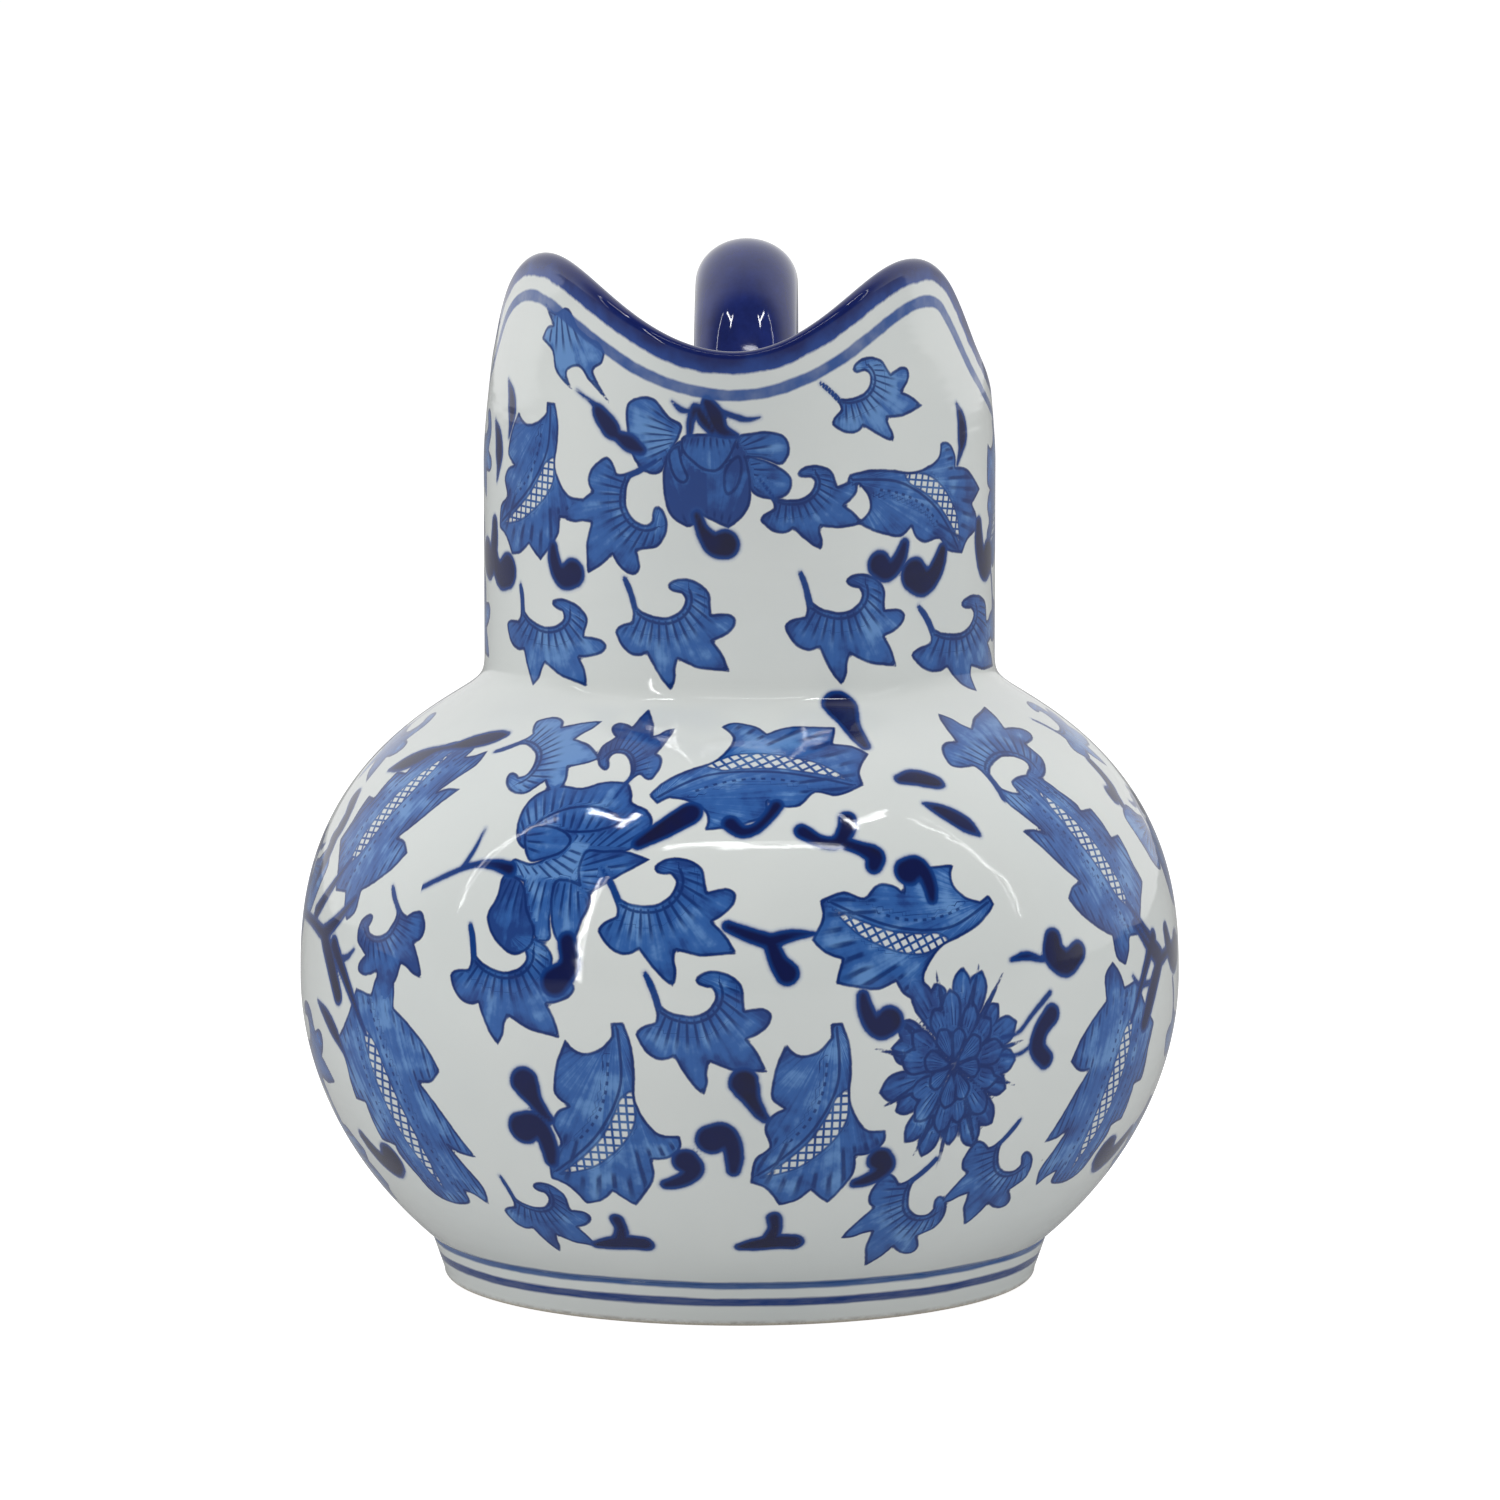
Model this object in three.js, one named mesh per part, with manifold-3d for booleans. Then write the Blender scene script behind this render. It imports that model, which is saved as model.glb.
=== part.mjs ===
// Porcelain jug with a round belly, a pinched spout between two ears and a looped handle,
// built from the clay pieces that a potter lutes together: foot, two belly halves, neck, handle and slip.
// Millimetres, +Z up. The jug's axis is vertical, its spout faces -Y and its handle is at +Y.

import * as THREE from "three";
import { mergeVertices } from "three/addons/utils/BufferGeometryUtils.js";
import Module from "manifold-3d";

const wasm = await Module();
wasm.setup();

// Belly: its upper half is a superellipse and its lower half an ellipse, both about the equator
const BELLY_RADIUS = 80;
const EQUATOR_Z = 55;
const CROWN_HEIGHT = 63.6;
const CROWN_POWER = 2.5;
const KEEL_DEPTH = 66.9;
const KEEL_POWER = 1.95;

// Wall, floor and foot ring
const WALL = 4;
const FLOOR_Z = 12;
const FLOOR_RADIUS = 50;
const FOOT_HEIGHT = 8;
const FOOT_BOTTOM_RADIUS = 54;
const FOOT_TOP_RADIUS = 56.4;
const FOOT_WIDTH = 6;
const RECESS_DEPTH = 6.5;
const FOOT_EDGE = 0.8;

// Neck: a straight collar, with a soft fillet where it rises from the shoulder
const NECK_RADIUS = 46.3;
const NECK_ROOT_Z = 112;
const SHOULDER_SOFTNESS = 2.2;
const LIP_RADIUS = WALL / 2;

// Rim heights against the turn from the spout, in degrees. It rises from the spout's dip as a cosine
// wave to the ear on each side, and falls behind the ears to a low back. The ears differ by hand work.
const DIP_Z = 171;
const RIGHT_RIM = [[51.5, 186.2], [63, 183.2], [75, 171], [92, 163], [105, 159], [140, 155], [180, 155.5]];
const LEFT_RIM = [[59, 187], [70, 185.3], [80, 180], [88, 171], [106, 160.5], [140, 155], [180, 155.5]];
const TOP_Z = 187;

// The front of the neck is pinched narrower towards the ears, and the spout leans forward
const PINCH = 5.3;
const PINCH_START_Z = 149;
const PINCH_FULL_TURN = 85;
const PINCH_END_TURN = 112;
const SPOUT_REACH = 10.7;
const SPOUT_START_Z = 120;

// Handle: an oval section swept along a loop in the plane x = 0, given as [y, z]
const HANDLE_WIDTH = 19.6;
const HANDLE_DEPTH = 17;
const HANDLE_LOOP = [
  [38, 133], [49, 143], [58, 156.5], [67, 170.5], [79, 177.5], [91.5, 172],
  [99.5, 158], [102.5, 140], [100, 121], [92.5, 104], [81, 90], [64, 76],
];
const SLIP_SPREAD = 3.2;
const SLIP_HEIGHT = 5;
const GAP = 0.3;

// Facets
const TURN_STEPS = 48;
const WALL_STEPS = 9;
const LIP_STEPS = 6;
const LOOP_STEPS = 34;
const SECTION_STEPS = 12;
const COLLAR_STEPS = 24;

function bellyRadius(z, inset) {
  const rise = z - EQUATOR_Z;
  const reach = rise > 0 ? CROWN_HEIGHT - inset : KEEL_DEPTH - inset;
  const power = rise > 0 ? CROWN_POWER : KEEL_POWER;
  const share = (Math.abs(rise) / reach) ** power;
  return (BELLY_RADIUS - inset) * Math.sqrt(Math.max(0, 1 - share));
}

// The radius of the wall at a height, a distance inset from the outside, with the shoulder's fillet
function wallRadius(z, inset) {
  const neck = NECK_RADIUS - inset;
  const over = (bellyRadius(z, inset) - neck) / SHOULDER_SOFTNESS;
  return neck + SHOULDER_SOFTNESS * Math.log(1 + Math.exp(over));
}

function wallPoints(fromZ, toZ, inset, steps) {
  const points = [];
  for (let i = 0; i <= steps; i += 1) {
    // Steps gather where the belly turns in most, at the end far from the equator
    const share = Math.sin((i / steps) * (Math.PI / 2));
    const nearEquator = Math.abs(fromZ - EQUATOR_Z) < Math.abs(toZ - EQUATOR_Z);
    const t = nearEquator ? share : 1 - Math.cos((i / steps) * (Math.PI / 2));
    const z = fromZ + (toZ - fromZ) * t;
    points.push(new THREE.Vector2(wallRadius(z, inset), z));
  }
  return points;
}

// Turns a profile of [radius, height] points about the Z axis
function turned(profile, steps = TURN_STEPS) {
  const geometry = new THREE.LatheGeometry(profile, steps);
  geometry.rotateX(Math.PI / 2);
  return bare(geometry);
}

function bare(geometry) {
  geometry.deleteAttribute("normal");
  geometry.deleteAttribute("uv");
  return mergeVertices(geometry, 1e-4);
}

function closed(profile) {
  return [...profile, profile[0].clone()];
}

function point(radius, z) {
  return new THREE.Vector2(radius, z);
}

function solid(geometry) {
  const position = geometry.attributes.position;
  const mesh = new wasm.Mesh({
    numProp: 3,
    vertProperties: new Float32Array(position.array),
    triVerts: new Uint32Array(geometry.index.array),
  });
  return new wasm.Manifold(mesh);
}

function geometryOf(manifold) {
  const mesh = manifold.getMesh();
  const geometry = new THREE.BufferGeometry();
  geometry.setAttribute("position", new THREE.BufferAttribute(mesh.vertProperties, 3));
  geometry.setIndex(new THREE.BufferAttribute(mesh.triVerts, 1));
  return geometry;
}

// A smooth curve through [x, y] points, with the slope at each point taken from its neighbours
function curveThrough(points, x) {
  const last = points.length - 1;
  let i = 0;
  while (i < last - 1 && x > points[i + 1][0]) {
    i += 1;
  }
  const slope = (k) => {
    if (k === 0 || k === last) {
      return 0;
    }
    return (points[k + 1][1] - points[k - 1][1]) / (points[k + 1][0] - points[k - 1][0]);
  };
  const [x0, y0] = points[i];
  const [x1, y1] = points[i + 1];
  const span = x1 - x0;
  const t = (x - x0) / span;
  const startShare = 2 * t ** 3 - 3 * t ** 2 + 1;
  const startBend = (t ** 3 - 2 * t ** 2 + t) * span;
  const endBend = (t ** 3 - t ** 2) * span;
  return startShare * y0 + (1 - startShare) * y1 + startBend * slope(i) + endBend * slope(i + 1);
}

function rimHeight(turn) {
  const degrees = THREE.MathUtils.radToDeg(turn);
  const rim = degrees > 0 ? RIGHT_RIM : LEFT_RIM;
  const [earTurn, earZ] = rim[0];
  if (Math.abs(degrees) < earTurn) {
    return DIP_Z + ((earZ - DIP_Z) * (1 - Math.cos((Math.PI * degrees) / earTurn))) / 2;
  }
  return curveThrough(rim, Math.abs(degrees));
}

// Moves the points of a straight collar to the neck's real form
function shapeNeck(geometry) {
  const position = geometry.attributes.position;
  const lipStartZ = TOP_Z - LIP_RADIUS;
  for (let i = 0; i < position.count; i += 1) {
    const turn = Math.atan2(position.getX(i), -position.getY(i));
    const radius = Math.hypot(position.getX(i), position.getY(i));
    const straightZ = position.getZ(i);
    const lipZ = rimHeight(turn) - LIP_RADIUS;
    const share = (straightZ - NECK_ROOT_Z) / (lipStartZ - NECK_ROOT_Z);
    const z = share < 1 ? NECK_ROOT_Z + share * (lipZ - NECK_ROOT_Z) : lipZ + straightZ - lipStartZ;

    const front = 1 - THREE.MathUtils.smoothstep(
      Math.abs(THREE.MathUtils.radToDeg(turn)), PINCH_FULL_TURN, PINCH_END_TURN);
    const rise = Math.max(0, (z - PINCH_START_Z) / (TOP_Z - PINCH_START_Z));
    const lean = Math.max(0, (z - SPOUT_START_Z) / (DIP_Z - SPOUT_START_Z));
    const forward = Math.max(0, Math.cos(turn)) ** 2;
    const halfWidth = radius - PINCH * rise ** 1.5 * front;
    const halfDepth = radius + SPOUT_REACH * lean ** 2 * forward;
    position.setXYZ(i, halfWidth * Math.sin(turn), -halfDepth * Math.cos(turn), z);
  }
  return geometry;
}

function footRing() {
  const innerBottom = FOOT_BOTTOM_RADIUS - FOOT_WIDTH;
  const innerTop = FOOT_TOP_RADIUS - FOOT_WIDTH - WALL / 2;
  return turned(closed([
    point(innerBottom, 0),
    point(FOOT_BOTTOM_RADIUS - FOOT_EDGE, 0),
    point(FOOT_BOTTOM_RADIUS, FOOT_EDGE),
    point(FOOT_TOP_RADIUS, FOOT_HEIGHT),
    point(innerTop, FOOT_HEIGHT),
    point(innerTop, FOOT_EDGE * 2),
  ]));
}

function lowerBelly() {
  const recessRadius = FOOT_TOP_RADIUS - FOOT_WIDTH - WALL / 2 - GAP;
  const outside = wallPoints(FOOT_HEIGHT + FOOT_EDGE, EQUATOR_Z, 0, WALL_STEPS);
  const inside = wallPoints(EQUATOR_Z, FLOOR_Z + WALL, WALL, WALL_STEPS);
  return turned([
    point(0, RECESS_DEPTH),
    point(recessRadius, RECESS_DEPTH),
    point(recessRadius, FOOT_HEIGHT),
    point(FOOT_TOP_RADIUS, FOOT_HEIGHT),
    ...outside,
    ...inside,
    point(FLOOR_RADIUS + WALL, FLOOR_Z + WALL / 4),
    point(FLOOR_RADIUS, FLOOR_Z),
    point(0, FLOOR_Z),
  ]);
}

function upperBelly() {
  const outside = wallPoints(EQUATOR_Z, NECK_ROOT_Z, 0, WALL_STEPS + 4);
  const inside = wallPoints(NECK_ROOT_Z, EQUATOR_Z, WALL, WALL_STEPS + 1);
  return turned(closed([...outside, ...inside]));
}

function neckAndSpout() {
  const lipStartZ = TOP_Z - LIP_RADIUS;
  const outside = [];
  const inside = [];
  for (let i = 0; i <= WALL_STEPS; i += 1) {
    const z = NECK_ROOT_Z + ((lipStartZ - NECK_ROOT_Z) * i) / WALL_STEPS;
    outside.push(point(wallRadius(z, 0), z));
    inside.unshift(point(wallRadius(z, WALL), z));
  }
  const lip = [];
  for (let i = 1; i < LIP_STEPS; i += 1) {
    const angle = (Math.PI * i) / LIP_STEPS;
    const radius = NECK_RADIUS - LIP_RADIUS + LIP_RADIUS * Math.cos(angle);
    lip.push(point(radius, lipStartZ + LIP_RADIUS * Math.sin(angle)));
  }
  return shapeNeck(turned(closed([...outside, ...lip, ...inside])));
}

function handleLoop() {
  return new THREE.CatmullRomCurve3(HANDLE_LOOP.map(([y, z]) => new THREE.Vector3(0, y, z)));
}

// The handle's oval, a distance wider all round than the handle
function handleSection(spread) {
  const section = new THREE.Shape();
  const across = HANDLE_WIDTH / 2 + spread;
  const deep = HANDLE_DEPTH / 2 + spread;
  section.absellipse(0, 0, across, deep, 0, Math.PI * 2);
  return section;
}

function handleSweep(spread) {
  return solid(bare(new THREE.ExtrudeGeometry(handleSection(spread), {
    curveSegments: SECTION_STEPS,
    steps: LOOP_STEPS,
    extrudePath: handleLoop(),
    bevelEnabled: false,
  })));
}

// The pot's outside as a full body, a gap larger all round, to trim what is stuck onto it
function potOutside() {
  const profile = [point(0, FOOT_HEIGHT)];
  for (const { x, y } of wallPoints(FOOT_HEIGHT, EQUATOR_Z, -GAP, WALL_STEPS * 2)) {
    profile.push(point(x, y));
  }
  for (const { x, y } of wallPoints(EQUATOR_Z, NECK_ROOT_Z, -GAP, WALL_STEPS * 3).slice(1)) {
    profile.push(point(x, y));
  }
  profile.push(point(NECK_RADIUS + GAP, TOP_Z), point(0, TOP_Z));
  return solid(turned(profile));
}

// A flared collar of slip round one end of the handle, where it meets the wall
function slipCollar(loopShare, outward, pot, sweep) {
  const loop = handleLoop();
  const place = loop.getPointAt(loopShare);
  const along = loop.getTangentAt(loopShare).multiplyScalar(outward);
  const radius = HANDLE_WIDTH / 2;
  const profile = closed([
    point(radius - SLIP_SPREAD, -SLIP_HEIGHT * 2),
    point(radius + SLIP_SPREAD, -SLIP_HEIGHT * 2),
    point(radius + SLIP_SPREAD, 0),
    point(radius + SLIP_SPREAD / 2, SLIP_HEIGHT * 0.3),
    point(radius + SLIP_SPREAD / 4, SLIP_HEIGHT * 0.7),
    point(radius + GAP * 1.5, SLIP_HEIGHT),
    point(radius - SLIP_SPREAD, SLIP_HEIGHT),
  ]);
  const ring = turned(profile, COLLAR_STEPS);
  ring.scale(1, HANDLE_DEPTH / HANDLE_WIDTH, 1);
  const turn = new THREE.Quaternion().setFromUnitVectors(new THREE.Vector3(0, 0, 1), along);
  ring.applyQuaternion(turn);
  ring.translate(place.x, place.y, place.z);
  return geometryOf(solid(ring).subtract(sweep).subtract(pot));
}

function glaze(color, roughness) {
  return new THREE.MeshStandardMaterial({ color, roughness, metalness: 0 });
}

const pot = potOutside();
const sweep = handleSweep(0);
const clearSweep = handleSweep(GAP);

const PIECES = [
  ["foot_ring", footRing(), glaze(0xdfe2dd, 0.25)],
  ["lower_belly", lowerBelly(), glaze(0xb9c4d6, 0.1)],
  ["upper_belly", upperBelly(), glaze(0xc3cddb, 0.1)],
  ["neck_and_spout", neckAndSpout(), glaze(0xd3dae2, 0.1)],
  ["handle", geometryOf(sweep.subtract(pot)), glaze(0x1b1f6e, 0.08)],
  ["upper_luting_slip", slipCollar(0.055, 1, pot, clearSweep), glaze(0x20247a, 0.1)],
  ["lower_luting_slip", slipCollar(0.955, -1, pot, clearSweep), glaze(0x20247a, 0.1)],
];

const jug = new THREE.Group();
for (const [name, geometry, material] of PIECES) {
  const mesh = new THREE.Mesh(geometry, material);
  mesh.name = name;
  jug.add(mesh);
}

// The origin is the middle of the space that the jug stands in, which lies between its axis and its handle
const space = new THREE.Box3().setFromObject(jug);
jug.position.y = -(space.min.y + space.max.y) / 2;

export default jug;
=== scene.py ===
import math

import bpy
import numpy as np
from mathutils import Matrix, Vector


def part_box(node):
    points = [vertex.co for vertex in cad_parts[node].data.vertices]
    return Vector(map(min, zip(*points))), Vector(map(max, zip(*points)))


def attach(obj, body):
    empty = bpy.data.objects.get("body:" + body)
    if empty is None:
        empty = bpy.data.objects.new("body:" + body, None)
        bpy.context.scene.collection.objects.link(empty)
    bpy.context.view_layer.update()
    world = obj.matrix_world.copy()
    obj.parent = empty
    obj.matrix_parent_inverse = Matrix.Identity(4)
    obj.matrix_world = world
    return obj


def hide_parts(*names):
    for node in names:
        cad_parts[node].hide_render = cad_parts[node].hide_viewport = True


# A blue and white porcelain jug. Shapes are worked out in millimetres about the jug's own axis, with the
# spout at -Y, and moved into the frame when a mesh is made. A turn is an angle about the axis from the
# spout, positive towards +X.

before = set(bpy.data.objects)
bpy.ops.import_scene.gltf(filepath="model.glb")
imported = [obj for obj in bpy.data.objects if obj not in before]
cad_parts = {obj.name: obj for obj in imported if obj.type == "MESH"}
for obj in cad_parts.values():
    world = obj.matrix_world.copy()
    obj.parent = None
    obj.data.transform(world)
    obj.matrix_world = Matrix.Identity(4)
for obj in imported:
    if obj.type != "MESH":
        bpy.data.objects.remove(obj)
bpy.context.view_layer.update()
foot_low, foot_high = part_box("foot_ring")
AXIS_Y = (foot_low.y + foot_high.y) / 2
MM = 0.001

# Belly and neck
BELLY_RADIUS = 80
EQUATOR_Z = 55
CROWN_HEIGHT = 63.6
CROWN_POWER = 2.5
KEEL_DEPTH = 66.9
KEEL_POWER = 1.95
WALL = 4
FOOT_HEIGHT = 8
FOOT_BOTTOM_RADIUS = 54
FOOT_TOP_RADIUS = 56.4
FOOT_INNER_RADIUS = 48.1
FOOT_OUTER_ROUND = 1
FOOT_INNER_ROUND = 1.1
FOOT_SIDE_START_Z = 1.1
NECK_RADIUS = 46.3
NECK_ROOT_Z = 112
SHOULDER_SOFTNESS = 2.2
LIP_RADIUS = 2
TOP_Z = 187
DIP_Z = 171
RIGHT_RIM = [(51.5, 186.2), (63, 183.2), (75, 171), (92, 163), (105, 159), (140, 155), (180, 155.5)]
LEFT_RIM = [(59, 187), (70, 185.3), (80, 180), (88, 171), (106, 160.5), (140, 155), (180, 155.5)]
RIM_CLEARANCE = 0.04
PINCH = 5.3
PINCH_START_Z = 149
PINCH_FULL_TURN = 85
PINCH_END_TURN = 112
SPOUT_REACH = 10.7
SPOUT_START_Z = 120

# The lower belly's floor inside the jug and its recess under it, as [radius, z] points
FLOOR_PROFILE = [(55.6, 14.2), (53.4, 12.9), (50.6, 12.25), (46, 12), (30, 12), (12, 12)]
RECESS_PROFILE = [(12, 6.6), (30, 6.56), (45.8, 6.5), (47.4, 6.75), (48, 7.4), (48.1, 8), (50.2, 8)]

# Handle: an oval section swept along a loop of [y, z] points, with its ends sunk into the wall. Its slip
# fillets climb the handle, spread over the wall, stand a hair proud of it, and are sunk out of sight.
HANDLE_WIDTH = 19.6
HANDLE_DEPTH = 16.9
HANDLE_SUNK = 1.6
SLIP_CLIMB = 4.6
SLIP_SPREAD = 2.6
SLIP_PROUD = 0.02
SLIP_SUNK = 0.7
HANDLE_LOOP = [
    (38, 133), (49, 143), (58, 156.5), (67, 170.5), (79, 177.5), (91.5, 172),
    (99.5, 158), (102.5, 140), (100, 121), (92.5, 104), (81, 90), (64, 76),
]

# Mesh fineness
BELLY_COLUMNS = 840
BELLY_STEP = 0.56
INSIDE_STEP = 2.6
NECK_COLUMNS = 520
NECK_ROWS = 128
HANDLE_COLUMNS = 96
HANDLE_ROWS = 360

# Paint: distances are kept up to FAR, and a piece away from the rim has NO_BAND as its distance from it. A
# wash tints what lies within WASH_EDGE of its outline, and a motif is painted as far as MOTIF_REACH from its
# middle. On the lip the distance from the rim is at most BAND_ON_LIP, and BAND_INSIDE is added to it inside
# the neck, where the cobalt band is narrower.
FAR = 2.5
NO_BAND = 30
WASH_EDGE = 0.35
MOTIF_REACH = 27
BAND_ON_LIP = 1.5
BAND_INSIDE = 2.6
RIM_BAND = 3.9
RIM_LINE_DEPTH = 7.5
FOOT_LINE_HEIGHTS = (7.75, 4.5)


def belly_radius(z, inset=0):
    """A round curve up and down from the widest ring, fuller above it than below it."""
    rise = z - EQUATOR_Z
    reach = np.where(rise > 0, CROWN_HEIGHT - inset, KEEL_DEPTH - inset)
    power = np.where(rise > 0, CROWN_POWER, KEEL_POWER)
    share = (np.abs(rise) / reach) ** power
    return (BELLY_RADIUS - inset) * np.sqrt(np.maximum(0, 1 - share))


def wall_radius(z, inset=0):
    """The pot's outer radius at a height, or its inner radius where the inset is the wall."""
    neck = NECK_RADIUS - inset
    over = (belly_radius(z, inset) - neck) / SHOULDER_SOFTNESS
    return neck + SHOULDER_SOFTNESS * np.log1p(np.exp(over))


def smooth(low, high, x):
    t = np.clip((x - low) / (high - low), 0, 1)
    return t * t * (3 - 2 * t)


def curve_through(points, x):
    """A smooth curve through [x, y] points, flat at both ends."""
    xs = np.array([p[0] for p in points], float)
    ys = np.array([p[1] for p in points], float)
    slope = np.zeros(len(points))
    slope[1:-1] = (ys[2:] - ys[:-2]) / (xs[2:] - xs[:-2])
    i = np.clip(np.searchsorted(xs, x) - 1, 0, len(points) - 2)
    span = xs[i + 1] - xs[i]
    t = (x - xs[i]) / span
    start = 2 * t ** 3 - 3 * t ** 2 + 1
    bend = (t ** 3 - 2 * t ** 2 + t) * span * slope[i] + (t ** 3 - t ** 2) * span * slope[i + 1]
    return start * ys[i] + (1 - start) * ys[i + 1] + bend


def rim_height(turn):
    """The rim's height, from the spout's dip over an ear on each side to the low back."""
    degrees = np.degrees(turn)
    size = np.abs(degrees)

    def side(rim):
        ear_turn, ear_z = rim[0]
        front = DIP_Z + (ear_z - DIP_Z) * (1 - np.cos(np.pi * size / ear_turn)) / 2
        return np.where(size < ear_turn, front, curve_through(rim, np.maximum(size, ear_turn)))

    return np.where(degrees > 0, side(RIGHT_RIM), side(LEFT_RIM)) - RIM_CLEARANCE


def neck_form(turn, radius, straight_z):
    """Where a point of a straight collar lies on the neck's real form."""
    lip_start = TOP_Z - LIP_RADIUS
    lip_z = rim_height(turn) - LIP_RADIUS
    share = (straight_z - NECK_ROOT_Z) / (lip_start - NECK_ROOT_Z)
    z = np.where(share < 1, NECK_ROOT_Z + share * (lip_z - NECK_ROOT_Z), lip_z + straight_z - lip_start)
    front = 1 - smooth(PINCH_FULL_TURN, PINCH_END_TURN, np.abs(np.degrees(turn)))
    rise = np.maximum(0, (z - PINCH_START_Z) / (TOP_Z - PINCH_START_Z))
    lean = np.maximum(0, (z - SPOUT_START_Z) / (DIP_Z - SPOUT_START_Z))
    forward = np.maximum(0, np.cos(turn)) ** 2
    half_width = radius - PINCH * rise ** 1.5 * front
    half_depth = radius + SPOUT_REACH * lean ** 2 * forward
    return np.stack([half_width * np.sin(turn), -half_depth * np.cos(turn), z], -1)


# ---------------------------------------------------------------- meshes

def grid_faces(rows, columns, first=0, close_rows=False):
    """Quads between rings of vertices, each ring closed on itself."""
    last = rows if close_rows else rows - 1
    i, j = np.meshgrid(np.arange(last), np.arange(columns), indexing="ij")
    i2, j2 = (i + 1) % rows, (j + 1) % columns
    quads = np.stack([i * columns + j, i * columns + j2, i2 * columns + j2, i2 * columns + j], -1)
    return quads.reshape(-1, 4) + first


def fan_faces(ring, hub, up):
    """Triangles between a ring of vertices and a hub."""
    a, b = ring, np.roll(ring, -1)
    hub = np.full_like(a, hub)
    return np.stack([a, b, hub] if up else [b, a, hub], -1)


def make_mesh(name, points, quads, triangles=None):
    """A mesh object from points in millimetres about the jug's axis."""
    points = np.asarray(points, float) * MM
    points[:, 1] += AXIS_Y
    triangles = np.zeros((0, 3), int) if triangles is None else triangles
    mesh = bpy.data.meshes.new(name)
    mesh.vertices.add(len(points))
    mesh.vertices.foreach_set("co", points.astype(np.float32).ravel())
    corners = np.concatenate([quads.ravel(), triangles.ravel()]).astype(np.int32)
    mesh.loops.add(len(corners))
    mesh.loops.foreach_set("vertex_index", corners)
    sizes = np.concatenate([np.full(len(quads), 4), np.full(len(triangles), 3)])
    mesh.polygons.add(len(sizes))
    starts = np.concatenate([[0], np.cumsum(sizes)[:-1]]).astype(np.int32)
    mesh.polygons.foreach_set("loop_start", starts)
    mesh.polygons.foreach_set("use_smooth", np.ones(len(sizes), bool))
    mesh.update(calc_edges=True)
    mesh.validate()
    piece = bpy.data.objects.new(name, mesh)
    bpy.context.scene.collection.objects.link(piece)
    return piece


def looped_mesh(name, grid):
    """A mesh from rings of points, where the last ring joins the first."""
    rows, columns = grid.shape[:2]
    return make_mesh(name, grid.reshape(-1, 3), grid_faces(rows, columns, close_rows=True))


def capped_mesh(name, grid):
    """A mesh from rings of points, with each end closed by a fan."""
    points = grid.reshape(-1, 3)
    columns = grid.shape[1]
    ring, total = np.arange(columns), len(points)
    low = fan_faces(ring, total, up=False)
    high = fan_faces(ring + total - columns, total + 1, up=True)
    hubs = [grid[0].mean(0), grid[-1].mean(0)]
    return make_mesh(name, np.vstack([points, hubs]), grid_faces(len(grid), columns), np.vstack([low, high]))


def set_normals(piece, first, normals):
    """Exact surface normals for a run of vertices, so that light runs unbroken from piece to piece. The
    other vertices keep their own."""
    mesh = piece.data
    own = np.empty(len(mesh.vertices) * 3, np.float32)
    mesh.vertices.foreach_get("normal", own)
    own = own.reshape(-1, 3)
    own[first:first + len(normals)] = normals
    mesh.normals_split_custom_set_from_vertices(own.tolist())


def store(piece, name, values):
    """Keeps a vector for each vertex of a piece."""
    layer = piece.data.attributes.new(name, "FLOAT_VECTOR", "POINT")
    layer.data.foreach_set("vector", values.astype(np.float32).ravel())


def ring_turns(columns):
    return -np.pi + 2 * np.pi * np.arange(columns) / columns


def lathe(turn, radii, heights):
    """Rings of points, one for each radius and height."""
    radii, heights = np.asarray(radii, float), np.asarray(heights, float)
    return np.stack([
        radii[:, None] * np.sin(turn), -radii[:, None] * np.cos(turn),
        np.repeat(heights[:, None], len(turn), 1)], -1)


def even_heights(low, high, step):
    """Heights from low to high at even distances along the outside of the belly."""
    z = np.linspace(low, high, 4000)
    arc = np.concatenate([[0], np.cumsum(np.hypot(np.diff(z), np.diff(wall_radius(z))))])
    return np.interp(np.linspace(0, arc[-1], int(arc[-1] / step) + 1), arc, z)


ARC_Z = np.linspace(FOOT_HEIGHT, NECK_ROOT_Z, 6000)
ARC = np.concatenate([[0], np.cumsum(np.hypot(np.diff(ARC_Z), np.diff(wall_radius(ARC_Z))))])
ARC -= np.interp(EQUATOR_Z, ARC_Z, ARC)


def arc_height(z):
    """Distance up the outside from the equator, which above the neck's root is plain height."""
    z = np.asarray(z, float)
    return np.where(z < NECK_ROOT_Z, np.interp(z, ARC_Z, ARC), ARC[-1] + z - NECK_ROOT_Z)


# ---------------------------------------------------------------- brushwork

def curve_steps(before, a, b, after):
    """Four points of a smooth curve on its way from a to b, the first of them a."""
    for t in np.linspace(0, 1, 5)[:-1]:
        yield 0.5 * (2 * a + (b - before) * t + (2 * before - 5 * a + 4 * b - after) * t * t
                     + (3 * a - before - 3 * b + after) * t ** 3)


def outline(points):
    """A closed outline through points. A point with a third value is a sharp corner; the rest are smooth."""
    corner = [len(p) > 2 for p in points]
    points = np.array([p[:2] for p in points], float)
    out = []
    for i, a in enumerate(points):
        k = (i + 1) % len(points)
        b = points[k]
        before = a if corner[i] else points[i - 1]
        after = b if corner[k] else points[(i + 2) % len(points)]
        out += curve_steps(before, a, b, after)
    return np.array(out)


def brush_line(points):
    """An open stroke through points, each with any number of further values such as its half width."""
    points = np.array(points, float)
    padded = np.vstack([2 * points[0] - points[1], points, 2 * points[-1] - points[-2]])
    out = []
    for i in range(len(points) - 1):
        out += curve_steps(*padded[i:i + 4])
    return np.array(out + [points[-1]])


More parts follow.
